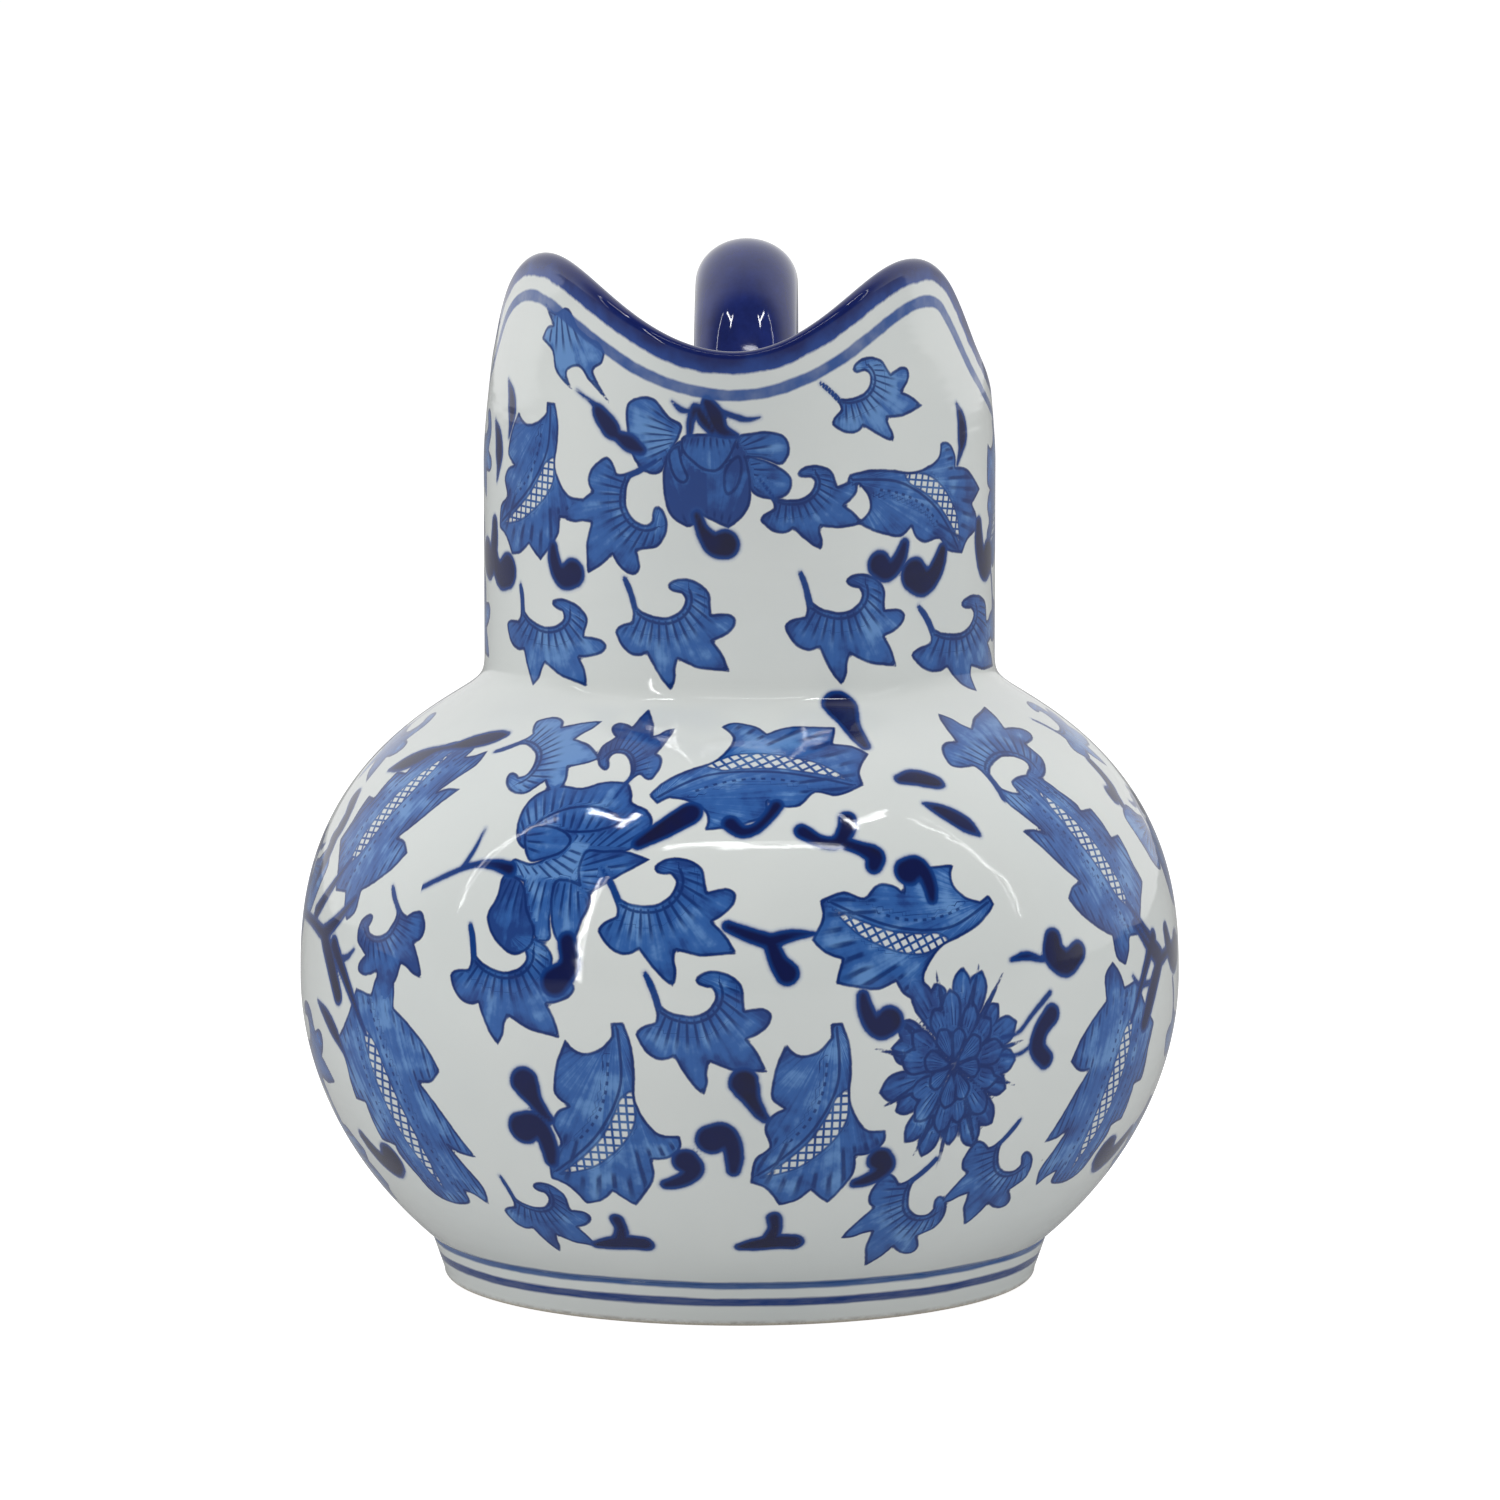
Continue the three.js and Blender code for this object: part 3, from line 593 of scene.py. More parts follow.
# Each row: motif, turn in degrees, height, size (less than 0 for mirrored), spin in degrees, stretch up,
# stretch across, tone. A value left off is the one that Canvas.paint starts with.
PAINTING = [
    # Neck, front
    ("sprig", -40.6, 170.8, 0.95, 0, 1, 1.5, -0.1), ("ovals", -28.8, 157.8, 1.05, 0, 0.98, 1.16),
    ("lattice", -51.4, 147, 0.84, -4, 1.02, 1.25, 0.1), ("comma", -41, 131.8, 0.86, 0, 0.98, 1.3),
    ("slim", -62.5, 159.7, 0.95, 6, 0.97, 1.8), ("slim", -68.5, 152, 1, 4, 0.97, 2.2),
    ("comma", -66, 131, 0.9, 0, 0.98, 1.8), ("curled", -26.8, 142.2, 0.98, -82, 0.98, 1.06),
    ("peony", -6.2, 149.4, 1.06, 0, 0.98, 0.97, 0.1), ("drop", -6.2, 149.8, 1.04, 0, 0.98, 0.95),
    ("curled", 16, 143.6, 0.84, 14, 0.88, 1.05, 0.1), ("lattice", 46, 143.7, 0.82, 82, 0.98, 1.35, 0.05),
    ("comma", 35.6, 133.2, -0.84, -14, 0.98, 1.2), ("comma", 46.2, 131, -1, -14, 0.98, 1.35),
    ("slim", 59.2, 155.5, 1, -4, 0.97, 1.9), ("curled", 31.5, 161.9, 0.78, 26, 0.98, 1.22, -0.45),
    ("curled", -47, 119.2, 0.84, -14, 0.98, 1.45), ("curled", -14.2, 121.8, 1, 0, 0.97),
    ("curled", 24.5, 122.5, 1, -4, 0.97, 1.06, 0.05), ("curled", 61, 117.6, 0.88, 4, 0.98, 1.7),
    # Belly, front
    ("pods", -58, 99, 1, 4, 1.1, 1.5), ("curled", -33.4, 101.2, -0.8, 140, 1.3, 1.13, -0.25),
    ("curled", -17, 101.8, 0.66, 130, 1.35, 1, 0.3), ("curled", 48.6, 100.6, -0.84, 200, 1.2, 1.5),
    ("lattice", 4, 98.6, 0.92, 122, 1.08, 1.28, 0.05), ("tadpole", 22.6, 106.4, 0.95, -24, 1.5, 1.05),
    ("hook", 3, 92, 1, 0, 1.1, 0.95), ("swan", 14.2, 88.2, 1, 0, 1.08, 0.98),
    ("oval", 29.6, 96.6, 1, 0, 1.15, 1.05), ("blade", 32.6, 90.6, 1.05, 0, 1.1, 1.05),
    ("lotus", -23, 84.5, 1.07, 0, 1.01, 1.03, 0.05), ("curled", -8.8, 75.4, 1.16, 10, 0.95, 0.96, 0.2),
    ("curled", -29.4, 62.7, 1.02, -8, 0.95, 1.12, 0.15), ("curled", -3.9, 56.6, 1.12, 2, 0.95, 0.95, 0.1),
    ("fork", 4.8, 71.6, 1, 0, 0.94, 0.95), ("lattice", 22.8, 73.4, 1, -66, 0.95, 1.02, 0.15),
    ("comma", 25, 81.6, 0.9, 176, 1, 1.05), ("comma", 18.3, 58.2, 0.98, 6, 0.95),
    ("petals", 28.6, 49, 1, 0, 1.3, 1, 0.1), ("heart", 46.4, 67, 1.05, 0, 0.95, 1.35),
    ("kidney", 42.2, 52.6, 0.98, 0, 0.98, 1.33), ("feather", 54.4, 80.6, 1.02, -3, 1, 1.55, 0.05),
    ("feather", 55.2, 42.2, -1.02, 194, 1.1, 1.7, 0.05), ("twigs", 70.4, 61, -1, 0, 0.97, 1.6),
    ("feather", -56.6, 87.4, -1, 6, 1.02, 1.6, 0.05), ("feather", -47.6, 40.6, 1.08, 170, 1.12, 1.7),
    ("curled", -49.4, 67.6, -0.82, 52, 0.95, 1.3, 0.45), ("twigs", -67.4, 66, 1, 0, 0.95, 1.7),
    ("lattice", -16.6, 39.9, 1.02, 0, 1.05, 1.01, 0.05), ("lattice", 10.7, 40.3, 1, 0, 1.05, 0.96, 0.05),
    ("tadpole", -25.9, 43.8, 1, 0, 1, 1.05), ("comma", -26.4, 36.4, 1.02, 172, 1.05, 1.15),
    ("comma", -6.4, 31.2, 0.88, 100, 1.1, 0.96), ("tadpole", 2.4, 45.2, 1, 0, 0.99, 0.94),
    ("comma", -1.2, 36, 1.02, 172, 1.05), ("comma", 19.4, 31, 0.84, 100, 1.1),
    ("paw", -17.6, 18, 1, 0, 1.3), ("paw", 5.4, 18.8, 1.05, 0, 1.3, 0.96),
    ("curled", -29, 20.6, 0.7, -4, 1.25, 1.15, 0.1), ("curled", 24.6, 21.4, 0.86, -66, 1.25, 1.1),
    ("curled", 38, 27.6, 0.76, -58, 1.2, 1.25, 0.05), ("comma", -60, 27, 1, 24, 1, 1.5),
    ("slim", -65, 50, 1.1, 40, 1, 1.5), ("slim", -75, 80, 1.3, -8, 1, 1.8),
    ("comma", 67.5, 27, -1, -30, 1, 1.6), ("comma", 78, 62, 1, 10, 1, 1.6),
    # Sides and back of the belly
    ("swan", 166, 75, 1.1), ("blot", -170, 90, -1.1, 10), ("ovals", -176, 41, 1.1), ("comma", 133, 99, 1.1),
    ("kidney", -133, 22, 1, 30), ("comma", 131, 20, 1, 30), ("fork", 113, 44, 0.9),
    ("oval", -104, 70, 1.2, 20), ("peony", 86, 78, 1.05, 10, 1, 1, 0.1),
    ("curled", 84, 47, 1.05, 0, 1, 1, 0.05), ("curled", 79, 100.4, 0.8, 20, 1.15, 1, -0.1),
    ("hook_blot", 73, 92, 0.8), ("lattice", 104, 50, 0.98, 8, 1, 1, 0.05),
    ("lattice", 84, 26, 0.8, -92, 1.1), ("comma", 95, 62, 1.2), ("comma", 96, 34, 1.1, 200),
    ("curled", 104, 90, 1, -20, 1, 1, 0.1), ("feather", 127, 76, 1.05, 8, 1, 1, 0.05),
    ("feather", 131, 38, -1, 180, 1, 1, 0.05), ("twigs", 141, 57, -0.9), ("blot", 116, 66, 1.2, 10),
    ("curled", 114, 26, 0.85, 10, 1.15), ("curled", 122, 101.6, 0.8, 14, 1.2), ("paw", 104, 20, 1, 0, 1.2),
    ("petals", 156, 62, 1, 20, 1, 1, 0.15), ("curled", 157, 88, 0.95, -12, 1, 1, 0.05),
    ("curled", 150, 30, 0.95, 0, 1.1, 1, 0.05), ("kidney", 147, 76, 1.1), ("comma", 143, 91, 1.1, 40),
    ("lattice", 171, 34, 0.95, 4, 1.05), ("curled", 177, 58, 0.9, 6, 1, 1, 0.1), ("comma", 163, 44, 1.15),
    ("paw", 158, 19, -0.95, 0, 1.2), ("hook_blot", -179, 19.6, 0.75, 30, 1.2),
    ("peony", -86, 70, -1.05, -14, 1, 1, 0.1), ("curled", -81, 98.6, 0.85, -14, 1.15),
    ("kidney", -74, 86, -1, 0, 1, 1.2), ("curled", -77, 43, 0.95, 16, 1, 1.1, 0.05),
    ("lattice", -101, 46, -0.98, 0, 1, 1, 0.05), ("lattice", -78, 24.6, 0.8, 88, 1.1),
    ("comma", -92, 54, -1.2), ("comma", -91, 30, 1.1, 190), ("curled", -104, 84, 1.05, 12, 1, 1, 0.1),
    ("swan", -95, 96, 0.95, 20, 1.1), ("feather", -127, 80, -1.02, -4, 1, 1, 0.05),
    ("feather", -126, 41, 1.02, 182, 1, 1, 0.05), ("twigs", -139, 61, 0.9), ("heart", -114, 63, -1),
    ("curled", -112, 25, 0.85, -10, 1.15), ("curled", -120, 102.4, 0.75, -10, 1.2),
    ("lotus", -155, 64, -0.95, 0, 1, 1, 0.05), ("curled", -154, 89, 0.9, 14, 1, 1, 0.05),
    ("lattice", -149, 28, 0.82, 92, 1.1), ("comma", -168, 43, -1.1, 20), ("comma", -143, 97, 1.1, 60, 1.1),
    ("paw", -161, 17.6, 0.95, 0, 1.2),
    # Sides and back of the neck
    ("curled", 88, 121, 0.95), ("lattice", 83, 143, 0.78, 10, 1, 1, 0.05),
    ("comma", 72, 133, 1.2, 0, 1, 1.1), ("curled", 113, 122, 0.95, -6, 1, 1, 0.05),
    ("curled", 108, 141, 0.85, 24), ("comma", 98, 132, -1.1), ("curled", 137, 121, 0.9, 4),
    ("sprig", 133, 139, 0.95, 10, 1, 1, 0.2), ("curled", 158, 119, 0.8, -4, 1, 1, 0.05), ("blot", 149, 136),
    ("curled", -88, 120.6, 0.95, 0, 1, 1, 0.05), ("curled", -84, 152, 0.85, -30, 1, 1, -0.1),
    ("comma", -74, 133, -1.2, 0, 1, 1.1), ("comma", -88, 136, 1.1, 30), ("curled", -112, 122, 0.95, 8),
    ("sprig", -110, 143, 0.95, -8, 1, 1, 0.2), ("curled", -136, 121, 0.9, 0, 1, 1, 0.05),
    ("curled", -133, 139, 0.7, 24), ("curled", -158, 119, 0.8), ("blot", -149, 136, 1, 30),
]


class Canvas:
    """The paint at each point of a grid on the pot, as numbers that the glaze reads. Wash is the distance
    from the washed areas of three layers, and ink, rib and lens are distances from those. Vein counts across
    a fan, gate says how strongly its veins show, tone darkens the wash, and cross is the place in a lattice
    or along a row of dots."""

    def __init__(self, turn, radius, arc):
        self.turn, self.radius, self.arc = turn.ravel(), radius.ravel(), arc.ravel()
        n = self.turn.size
        self.wash = np.full((n, 3), FAR)
        self.ink, self.rib, self.vein = np.full(n, FAR), np.full(n, FAR), np.zeros(n)
        self.gate, self.tone, self.lens = np.zeros(n), np.zeros(n), np.full(n, FAR)
        self.cross = np.full((n, 2), 0.5)
        for row in PAINTING:
            self.paint(*row)

    def paint(self, kind, degrees, height, size=1, spin=0, up=1, across=1, tone=0):
        """Adds one motif to the paint, later ones over earlier ones."""
        shape = MOTIFS[kind]
        centre = math.radians(degrees)
        dx = (self.turn - centre + np.pi) % (2 * np.pi) - np.pi
        dy = self.arc - float(arc_height(height))
        reach = MOTIF_REACH * abs(size)
        near = np.flatnonzero((np.abs(dy) < reach * up) & (np.abs(dx) * self.radius < reach * across))
        if not len(near):
            return
        p = np.stack([dx[near] * self.radius[near], dy[near]], -1)
        angle = math.radians(spin)
        turning = np.array([[math.cos(angle), -math.sin(angle)], [math.sin(angle), math.cos(angle)]])
        form = np.diag([across, up]) @ turning @ np.diag([size, abs(size)])
        local = p @ np.linalg.inv(form).T

        def close(points, margin=FAR + 0.6):
            low, high = points[:, :2].min(0) - margin, points[:, :2].max(0) + margin
            return np.flatnonzero(((p > low) & (p < high)).all(1))

        # Washed areas, with the veins of their fans
        inside_all = np.full(len(near), FAR)
        for part in sorted(shape["fills"], key=lambda f: f["layer"]):
            edge = part["shape"] @ form.T
            pick = close(edge)
            where = near[pick]
            d = area_distance(p[pick], edge)
            layer = part["layer"]
            nearer = d < self.wash[where, layer]
            self.wash[where[nearer], layer] = d[nearer]
            inside_all[pick] = np.minimum(inside_all[pick], d)
            own = d < WASH_EDGE
            if not own.any():
                continue
            where, d, q = where[own], d[own], local[pick[own]]
            self.tone[where] = part["tone"] + tone
            self.gate[where] = 0
            if part["fan"]:
                x, y, step, start, stop = part["fan"]
                distance = np.hypot(q[:, 0] - x, q[:, 1] - y)
                middle = part["shape"].mean(0) - (x, y)
                raw = np.arctan2(q[:, 1] - y, q[:, 0] - x) - math.atan2(middle[1], middle[0])
                bearing = np.degrees((raw + np.pi) % (2 * np.pi) - np.pi)
                self.vein[where] = bearing / step
                begun = smooth(start - 0.8, start + 0.2, distance)
                ended = smooth(start + 0.55 * (stop - start), stop, distance)
                deep = smooth(part["hatch"] * 0.8, part["hatch"], -d)
                self.gate[where] = begun * (1 - ended) * smooth(0.3, 0.8, -d) * (1 - deep)
        # Ribs, the latticed lens, the dots beside it and the ink
        for line in shape["ribs"]:
            edge = line @ form.T
            pick = close(edge, FAR)
            signed, _ = side_distance(p[pick], edge)
            use = (np.abs(signed) < np.abs(self.rib[near[pick]])) & (inside_all[pick] < 0.2)
            self.rib[near[pick[use]]] = signed[use]
        if shape["lens"] is not None:
            edge = shape["lens"] @ form.T
            pick = close(edge)
            d = area_distance(p[pick], edge)
            use = d < self.lens[near[pick]]
            self.lens[near[pick[use]]] = d[use]
            own = pick[d < 0.4]
            self.cross[near[own]] = local[own] / shape["pitch"]
        for line in shape["dots"]:
            edge = line @ form.T
            pick = close(edge, 1.2)
            signed, along = side_distance(p[pick], edge)
            use = (np.abs(signed) < 1.0) & (self.lens[near[pick]] > 0.45) & (inside_all[pick] < -0.3)
            self.cross[near[pick[use]], 0] = along[use] / 1.7
            self.cross[near[pick[use]], 1] = signed[use]
        for line in shape["inks"]:
            edge = np.column_stack([line[:, :2] @ form.T, line[:, 2]])
            width = math.sqrt(abs(np.linalg.det(form)))
            pick = close(edge, FAR + 3 * width)
            d = stroke_distance(p[pick], edge, width)
            self.ink[near[pick]] = np.minimum(self.ink[near[pick]], np.clip(d, -FAR, FAR))

    def put(self, piece, first=0, band=NO_BAND):
        """Stores the paint on a piece whose vertices from the first one on are this grid. The band is the
        distance down from the rim, for all of the piece's vertices."""
        total = len(piece.data.vertices)

        def spread(columns, fillers):
            out = np.tile(np.array(fillers, float), (total, 1))
            out[first:first + self.turn.size] = np.stack(columns, -1)
            return out

        rib, lens = np.clip([self.rib, self.lens], -FAR, FAR)
        store(piece, "wash", spread(list(np.clip(self.wash, -FAR, FAR).T), (FAR, FAR, FAR)))
        store(piece, "line", spread([self.ink, rib, self.vein], (FAR, FAR, 0)))
        store(piece, "field", spread([self.gate, self.tone, lens], (0, 0, FAR)))
        cross = spread(list(self.cross.T), (0.5, 0.5))
        store(piece, "cross", np.column_stack([cross, np.full(total, band)]))


# ---------------------------------------------------------------- the clay pieces

def belly_grid(low, high):
    """The belly's outside between two heights: its points, normals and paint."""
    turn = ring_turns(BELLY_COLUMNS)
    heights = even_heights(low, high, BELLY_STEP)
    radii = wall_radius(heights)
    points = lathe(turn, radii, heights)
    nudge = 0.01
    lean = (wall_radius(heights + nudge) - wall_radius(heights - nudge)) / (2 * nudge)
    flat = 1 / np.sqrt(1 + lean ** 2)
    normals = lathe(turn, flat, -lean * flat)
    canvas = Canvas(
        np.tile(turn, (len(heights), 1)), np.repeat(radii[:, None], len(turn), 1),
        np.repeat(arc_height(heights)[:, None], len(turn), 1))
    return points, normals, canvas


def rounded(centre_radius, centre_z, radius, from_degrees, to_degrees, steps):
    """Points of a rounded edge in the plane of radius and height."""
    angles = np.radians(np.linspace(from_degrees, to_degrees, steps))
    return list(zip(centre_radius + radius * np.cos(angles), centre_z + radius * np.sin(angles)))


def make_foot():
    turn = ring_turns(BELLY_COLUMNS // 2)
    inner = rounded(FOOT_INNER_RADIUS + FOOT_INNER_ROUND, FOOT_INNER_ROUND, FOOT_INNER_ROUND, 180, 270, 6)
    outer = rounded(FOOT_BOTTOM_RADIUS - 0.95, FOOT_OUTER_ROUND, FOOT_OUTER_ROUND, -90, 0, 7)
    low, high = np.array([(FOOT_BOTTOM_RADIUS, FOOT_SIDE_START_Z), (FOOT_TOP_RADIUS, FOOT_HEIGHT)])
    side = [tuple(low + (high - low) * t) for t in np.linspace(0.04, 1, 14)]
    recess = [(FOOT_INNER_RADIUS, FOOT_HEIGHT - 0.01), (FOOT_INNER_RADIUS, 4.5)]
    radii, heights = np.array(recess + inner + [(51, 0)] + outer + side).T
    return looped_mesh("foot_ring_glazed", lathe(turn, radii, heights))


def make_lower_belly():
    points, normals, canvas = belly_grid(FOOT_HEIGHT, EQUATOR_Z)
    turn = ring_turns(BELLY_COLUMNS)
    inside_z = np.linspace(EQUATOR_Z, 16, 24)
    inside = lathe(turn, wall_radius(inside_z, WALL), inside_z)
    floor = lathe(turn, *zip(*FLOOR_PROFILE))
    under = lathe(turn, *zip(*RECESS_PROFILE))
    piece = capped_mesh("lower_belly_painted", np.concatenate([under, points, inside, floor]))
    first = len(under) * len(turn)
    set_normals(piece, first, normals.reshape(-1, 3))
    canvas.put(piece, first)
    return piece


def make_upper_belly():
    points, normals, canvas = belly_grid(EQUATOR_Z, NECK_ROOT_Z)
    turn = ring_turns(BELLY_COLUMNS)
    inside_z = even_heights(EQUATOR_Z, NECK_ROOT_Z, INSIDE_STEP)[::-1]
    inside = lathe(turn, wall_radius(inside_z, WALL), inside_z)
    piece = looped_mesh("upper_belly_painted", np.concatenate([points, inside]))
    set_normals(piece, 0, normals.reshape(-1, 3))
    canvas.put(piece)
    return piece


def make_neck():
    columns = ring_turns(NECK_COLUMNS)
    lip_start = TOP_Z - LIP_RADIUS
    outside_z = np.linspace(NECK_ROOT_Z, lip_start, NECK_ROWS)
    lip_angle = np.linspace(0, np.pi, 15)[1:-1]
    inside_z = np.linspace(lip_start, NECK_ROOT_Z, 64)
    radii = np.concatenate([
        wall_radius(outside_z), NECK_RADIUS - LIP_RADIUS + LIP_RADIUS * np.cos(lip_angle),
        wall_radius(inside_z, WALL)])
    heights = np.concatenate([outside_z, lip_start + LIP_RADIUS * np.sin(lip_angle), inside_z])
    turn, radius = np.meshgrid(columns, radii)
    straight = np.repeat(heights[:, None], len(columns), 1)
    grid = neck_form(turn, radius, straight)
    piece = looped_mesh("neck_painted", grid)

    rows = len(outside_z)
    turn_nudge, z_nudge = 1e-3, 0.05
    t, z = turn[:rows], straight[:rows]

    def wall_at(t, z):
        return neck_form(t, wall_radius(z), z)

    across = wall_at(t + turn_nudge, z) - wall_at(t - turn_nudge, z)
    upward = wall_at(t, z + z_nudge) - wall_at(t, z - z_nudge)
    normals = np.cross(across, upward)
    normals /= np.linalg.norm(normals, axis=-1, keepdims=True)
    set_normals(piece, 0, normals.reshape(-1, 3))

    paint_rows = rows + len(lip_angle)
    canvas = Canvas(turn[:rows], np.hypot(*grid[:rows, :, :2].T).T, arc_height(grid[:rows, :, 2]))

    # Distance down from the rim, measured square to it, outside the neck and a little way inside
    rim_turn = ring_turns(720)
    rim = np.stack([rim_turn * NECK_RADIUS, rim_height(rim_turn)], -1)
    around = (2 * np.pi * NECK_RADIUS, 0)
    rim = np.vstack([rim - around, rim, rim + around])
    flat = np.stack([turn * NECK_RADIUS, grid[..., 2]], -1)
    band = np.empty(turn.shape)
    window_width = 34
    for j in range(len(columns)):
        window = rim[np.abs(rim[:, 0] - flat[0, j, 0]) < window_width]
        gap = flat[:, j, None, :] - window[None]
        band[:, j] = np.sqrt((gap ** 2).sum(-1).min(1))
    band[rows:paint_rows] = np.minimum(band[rows:paint_rows], BAND_ON_LIP)
    band[paint_rows:] += BAND_INSIDE
    canvas.put(piece, band=band.ravel())
    return piece


def loop_curve():
    """The handle's loop as points and headings at even distances, by a centripetal curve."""
    knots = np.array(HANDLE_LOOP, float)
    padded = np.vstack([2 * knots[0] - knots[1], knots, 2 * knots[-1] - knots[-2]])
    points = []

    def between(u, t0, t1, a, b):
        return (t1 - u) / (t1 - t0) * a + (u - t0) / (t1 - t0) * b

    for i in range(len(knots) - 1):
        p = padded[i:i + 4]
        t = np.concatenate([[0], np.cumsum(np.sqrt(np.hypot(*np.diff(p, axis=0).T)))])
        for u in np.linspace(t[1], t[2], 60, endpoint=False):
            a = [between(u, t[k], t[k + 1], p[k], p[k + 1]) for k in range(3)]
            b = [between(u, t[k], t[k + 2], a[k], a[k + 1]) for k in range(2)]
            points.append(between(u, t[1], t[2], *b))
    points.append(knots[-1])
    points = np.array(points)
    arc = np.concatenate([[0], np.cumsum(np.hypot(*np.diff(points, axis=0).T))])
    even = np.linspace(0, arc[-1], 1200)
    points = np.stack([np.interp(even, arc, points[:, k]) for k in range(2)], -1)
    heading = np.gradient(points, axis=0)
    heading /= np.hypot(*heading.T)[:, None]
    return points, heading


def handle_lines():
    """Each long line of the handle's skin, from wall to wall."""
    centre, heading = loop_curve()
    angles = np.linspace(0, 2 * np.pi, HANDLE_COLUMNS, endpoint=False)[:, None]
    deep = HANDLE_DEPTH / 2 * np.sin(angles)
    wide = HANDLE_WIDTH / 2 * np.cos(angles) + np.zeros(len(centre))
    return np.stack([wide, centre[:, 0] - deep * heading[:, 1], centre[:, 1] + deep * heading[:, 0]], -1)


def crossing(line, sunk, from_start):
    """Where a skin line passes out of the wall, as a point number with a fraction. With sunk it is the
    place that lies so far inside the wall."""
    wall = wall_radius(np.clip(line[:, 2], FOOT_HEIGHT, TOP_Z))
    depth = np.hypot(line[:, 0], line[:, 1]) - wall + sunk
    outside = depth > 0
    middle = len(depth) // 2
    if from_start:
        i, ahead = np.flatnonzero(~outside[:middle])[-1], 1
    else:
        i, ahead = middle + np.flatnonzero(~outside[middle:])[0], -1
    return i + ahead * depth[i] / (depth[i] - depth[i + ahead])


def at_index(line, index):
    """The point of a line at a point number with a fraction, or a row of such points."""
    order = np.arange(len(line))
    return np.stack([np.interp(index, order, line[:, k]) for k in range(3)], -1)


def make_handle():
    grid = np.empty((HANDLE_ROWS, HANDLE_COLUMNS, 3))
    for j, line in enumerate(handle_lines()):
        ends = [crossing(line, HANDLE_SUNK, from_start) for from_start in (True, False)]
        grid[:, j] = at_index(line, np.linspace(*ends, HANDLE_ROWS))
    return capped_mesh("handle_glazed", grid)


def make_slip(name, from_start):
    """A soft concave fillet of slip where one end of the handle meets the wall."""
    skin = handle_lines()
    step = np.hypot(*np.diff(skin[0, :2, 1:], axis=0)[0])
    climb = (SLIP_CLIMB if from_start else -SLIP_CLIMB) / step
    contact, upper = [], []
    for line in skin:
        at = crossing(line, 0, from_start)
        contact.append(at_index(line, at))
        upper.append(at_index(line, at + climb))
    contact, upper = np.array(contact), np.array(upper)
    away = contact - contact.mean(0)
    away /= np.linalg.norm(away, axis=1, keepdims=True)
    foot = contact + away * SLIP_SPREAD
    foot[:, :2] *= ((wall_radius(foot[:, 2]) + SLIP_PROUD) / np.hypot(*foot[:, :2].T))[:, None]

    def outward(points, length):
        return points * [length, length, 0] / np.hypot(*points[:, :2].T)[:, None]

    grid = [(1 - t) ** 2 * upper + 2 * t * (1 - t) * contact + t ** 2 * foot for t in np.linspace(0, 1, 14)]
    # The hidden side, sunk into the wall and the handle
    grid += [foot - outward(foot, SLIP_SUNK), contact - away - outward(contact, 1), upper - away * 0.6]
    grid = np.array(grid)
    return looped_mesh(name, grid[::-1] if from_start else grid)


# ---------------------------------------------------------------- glazes

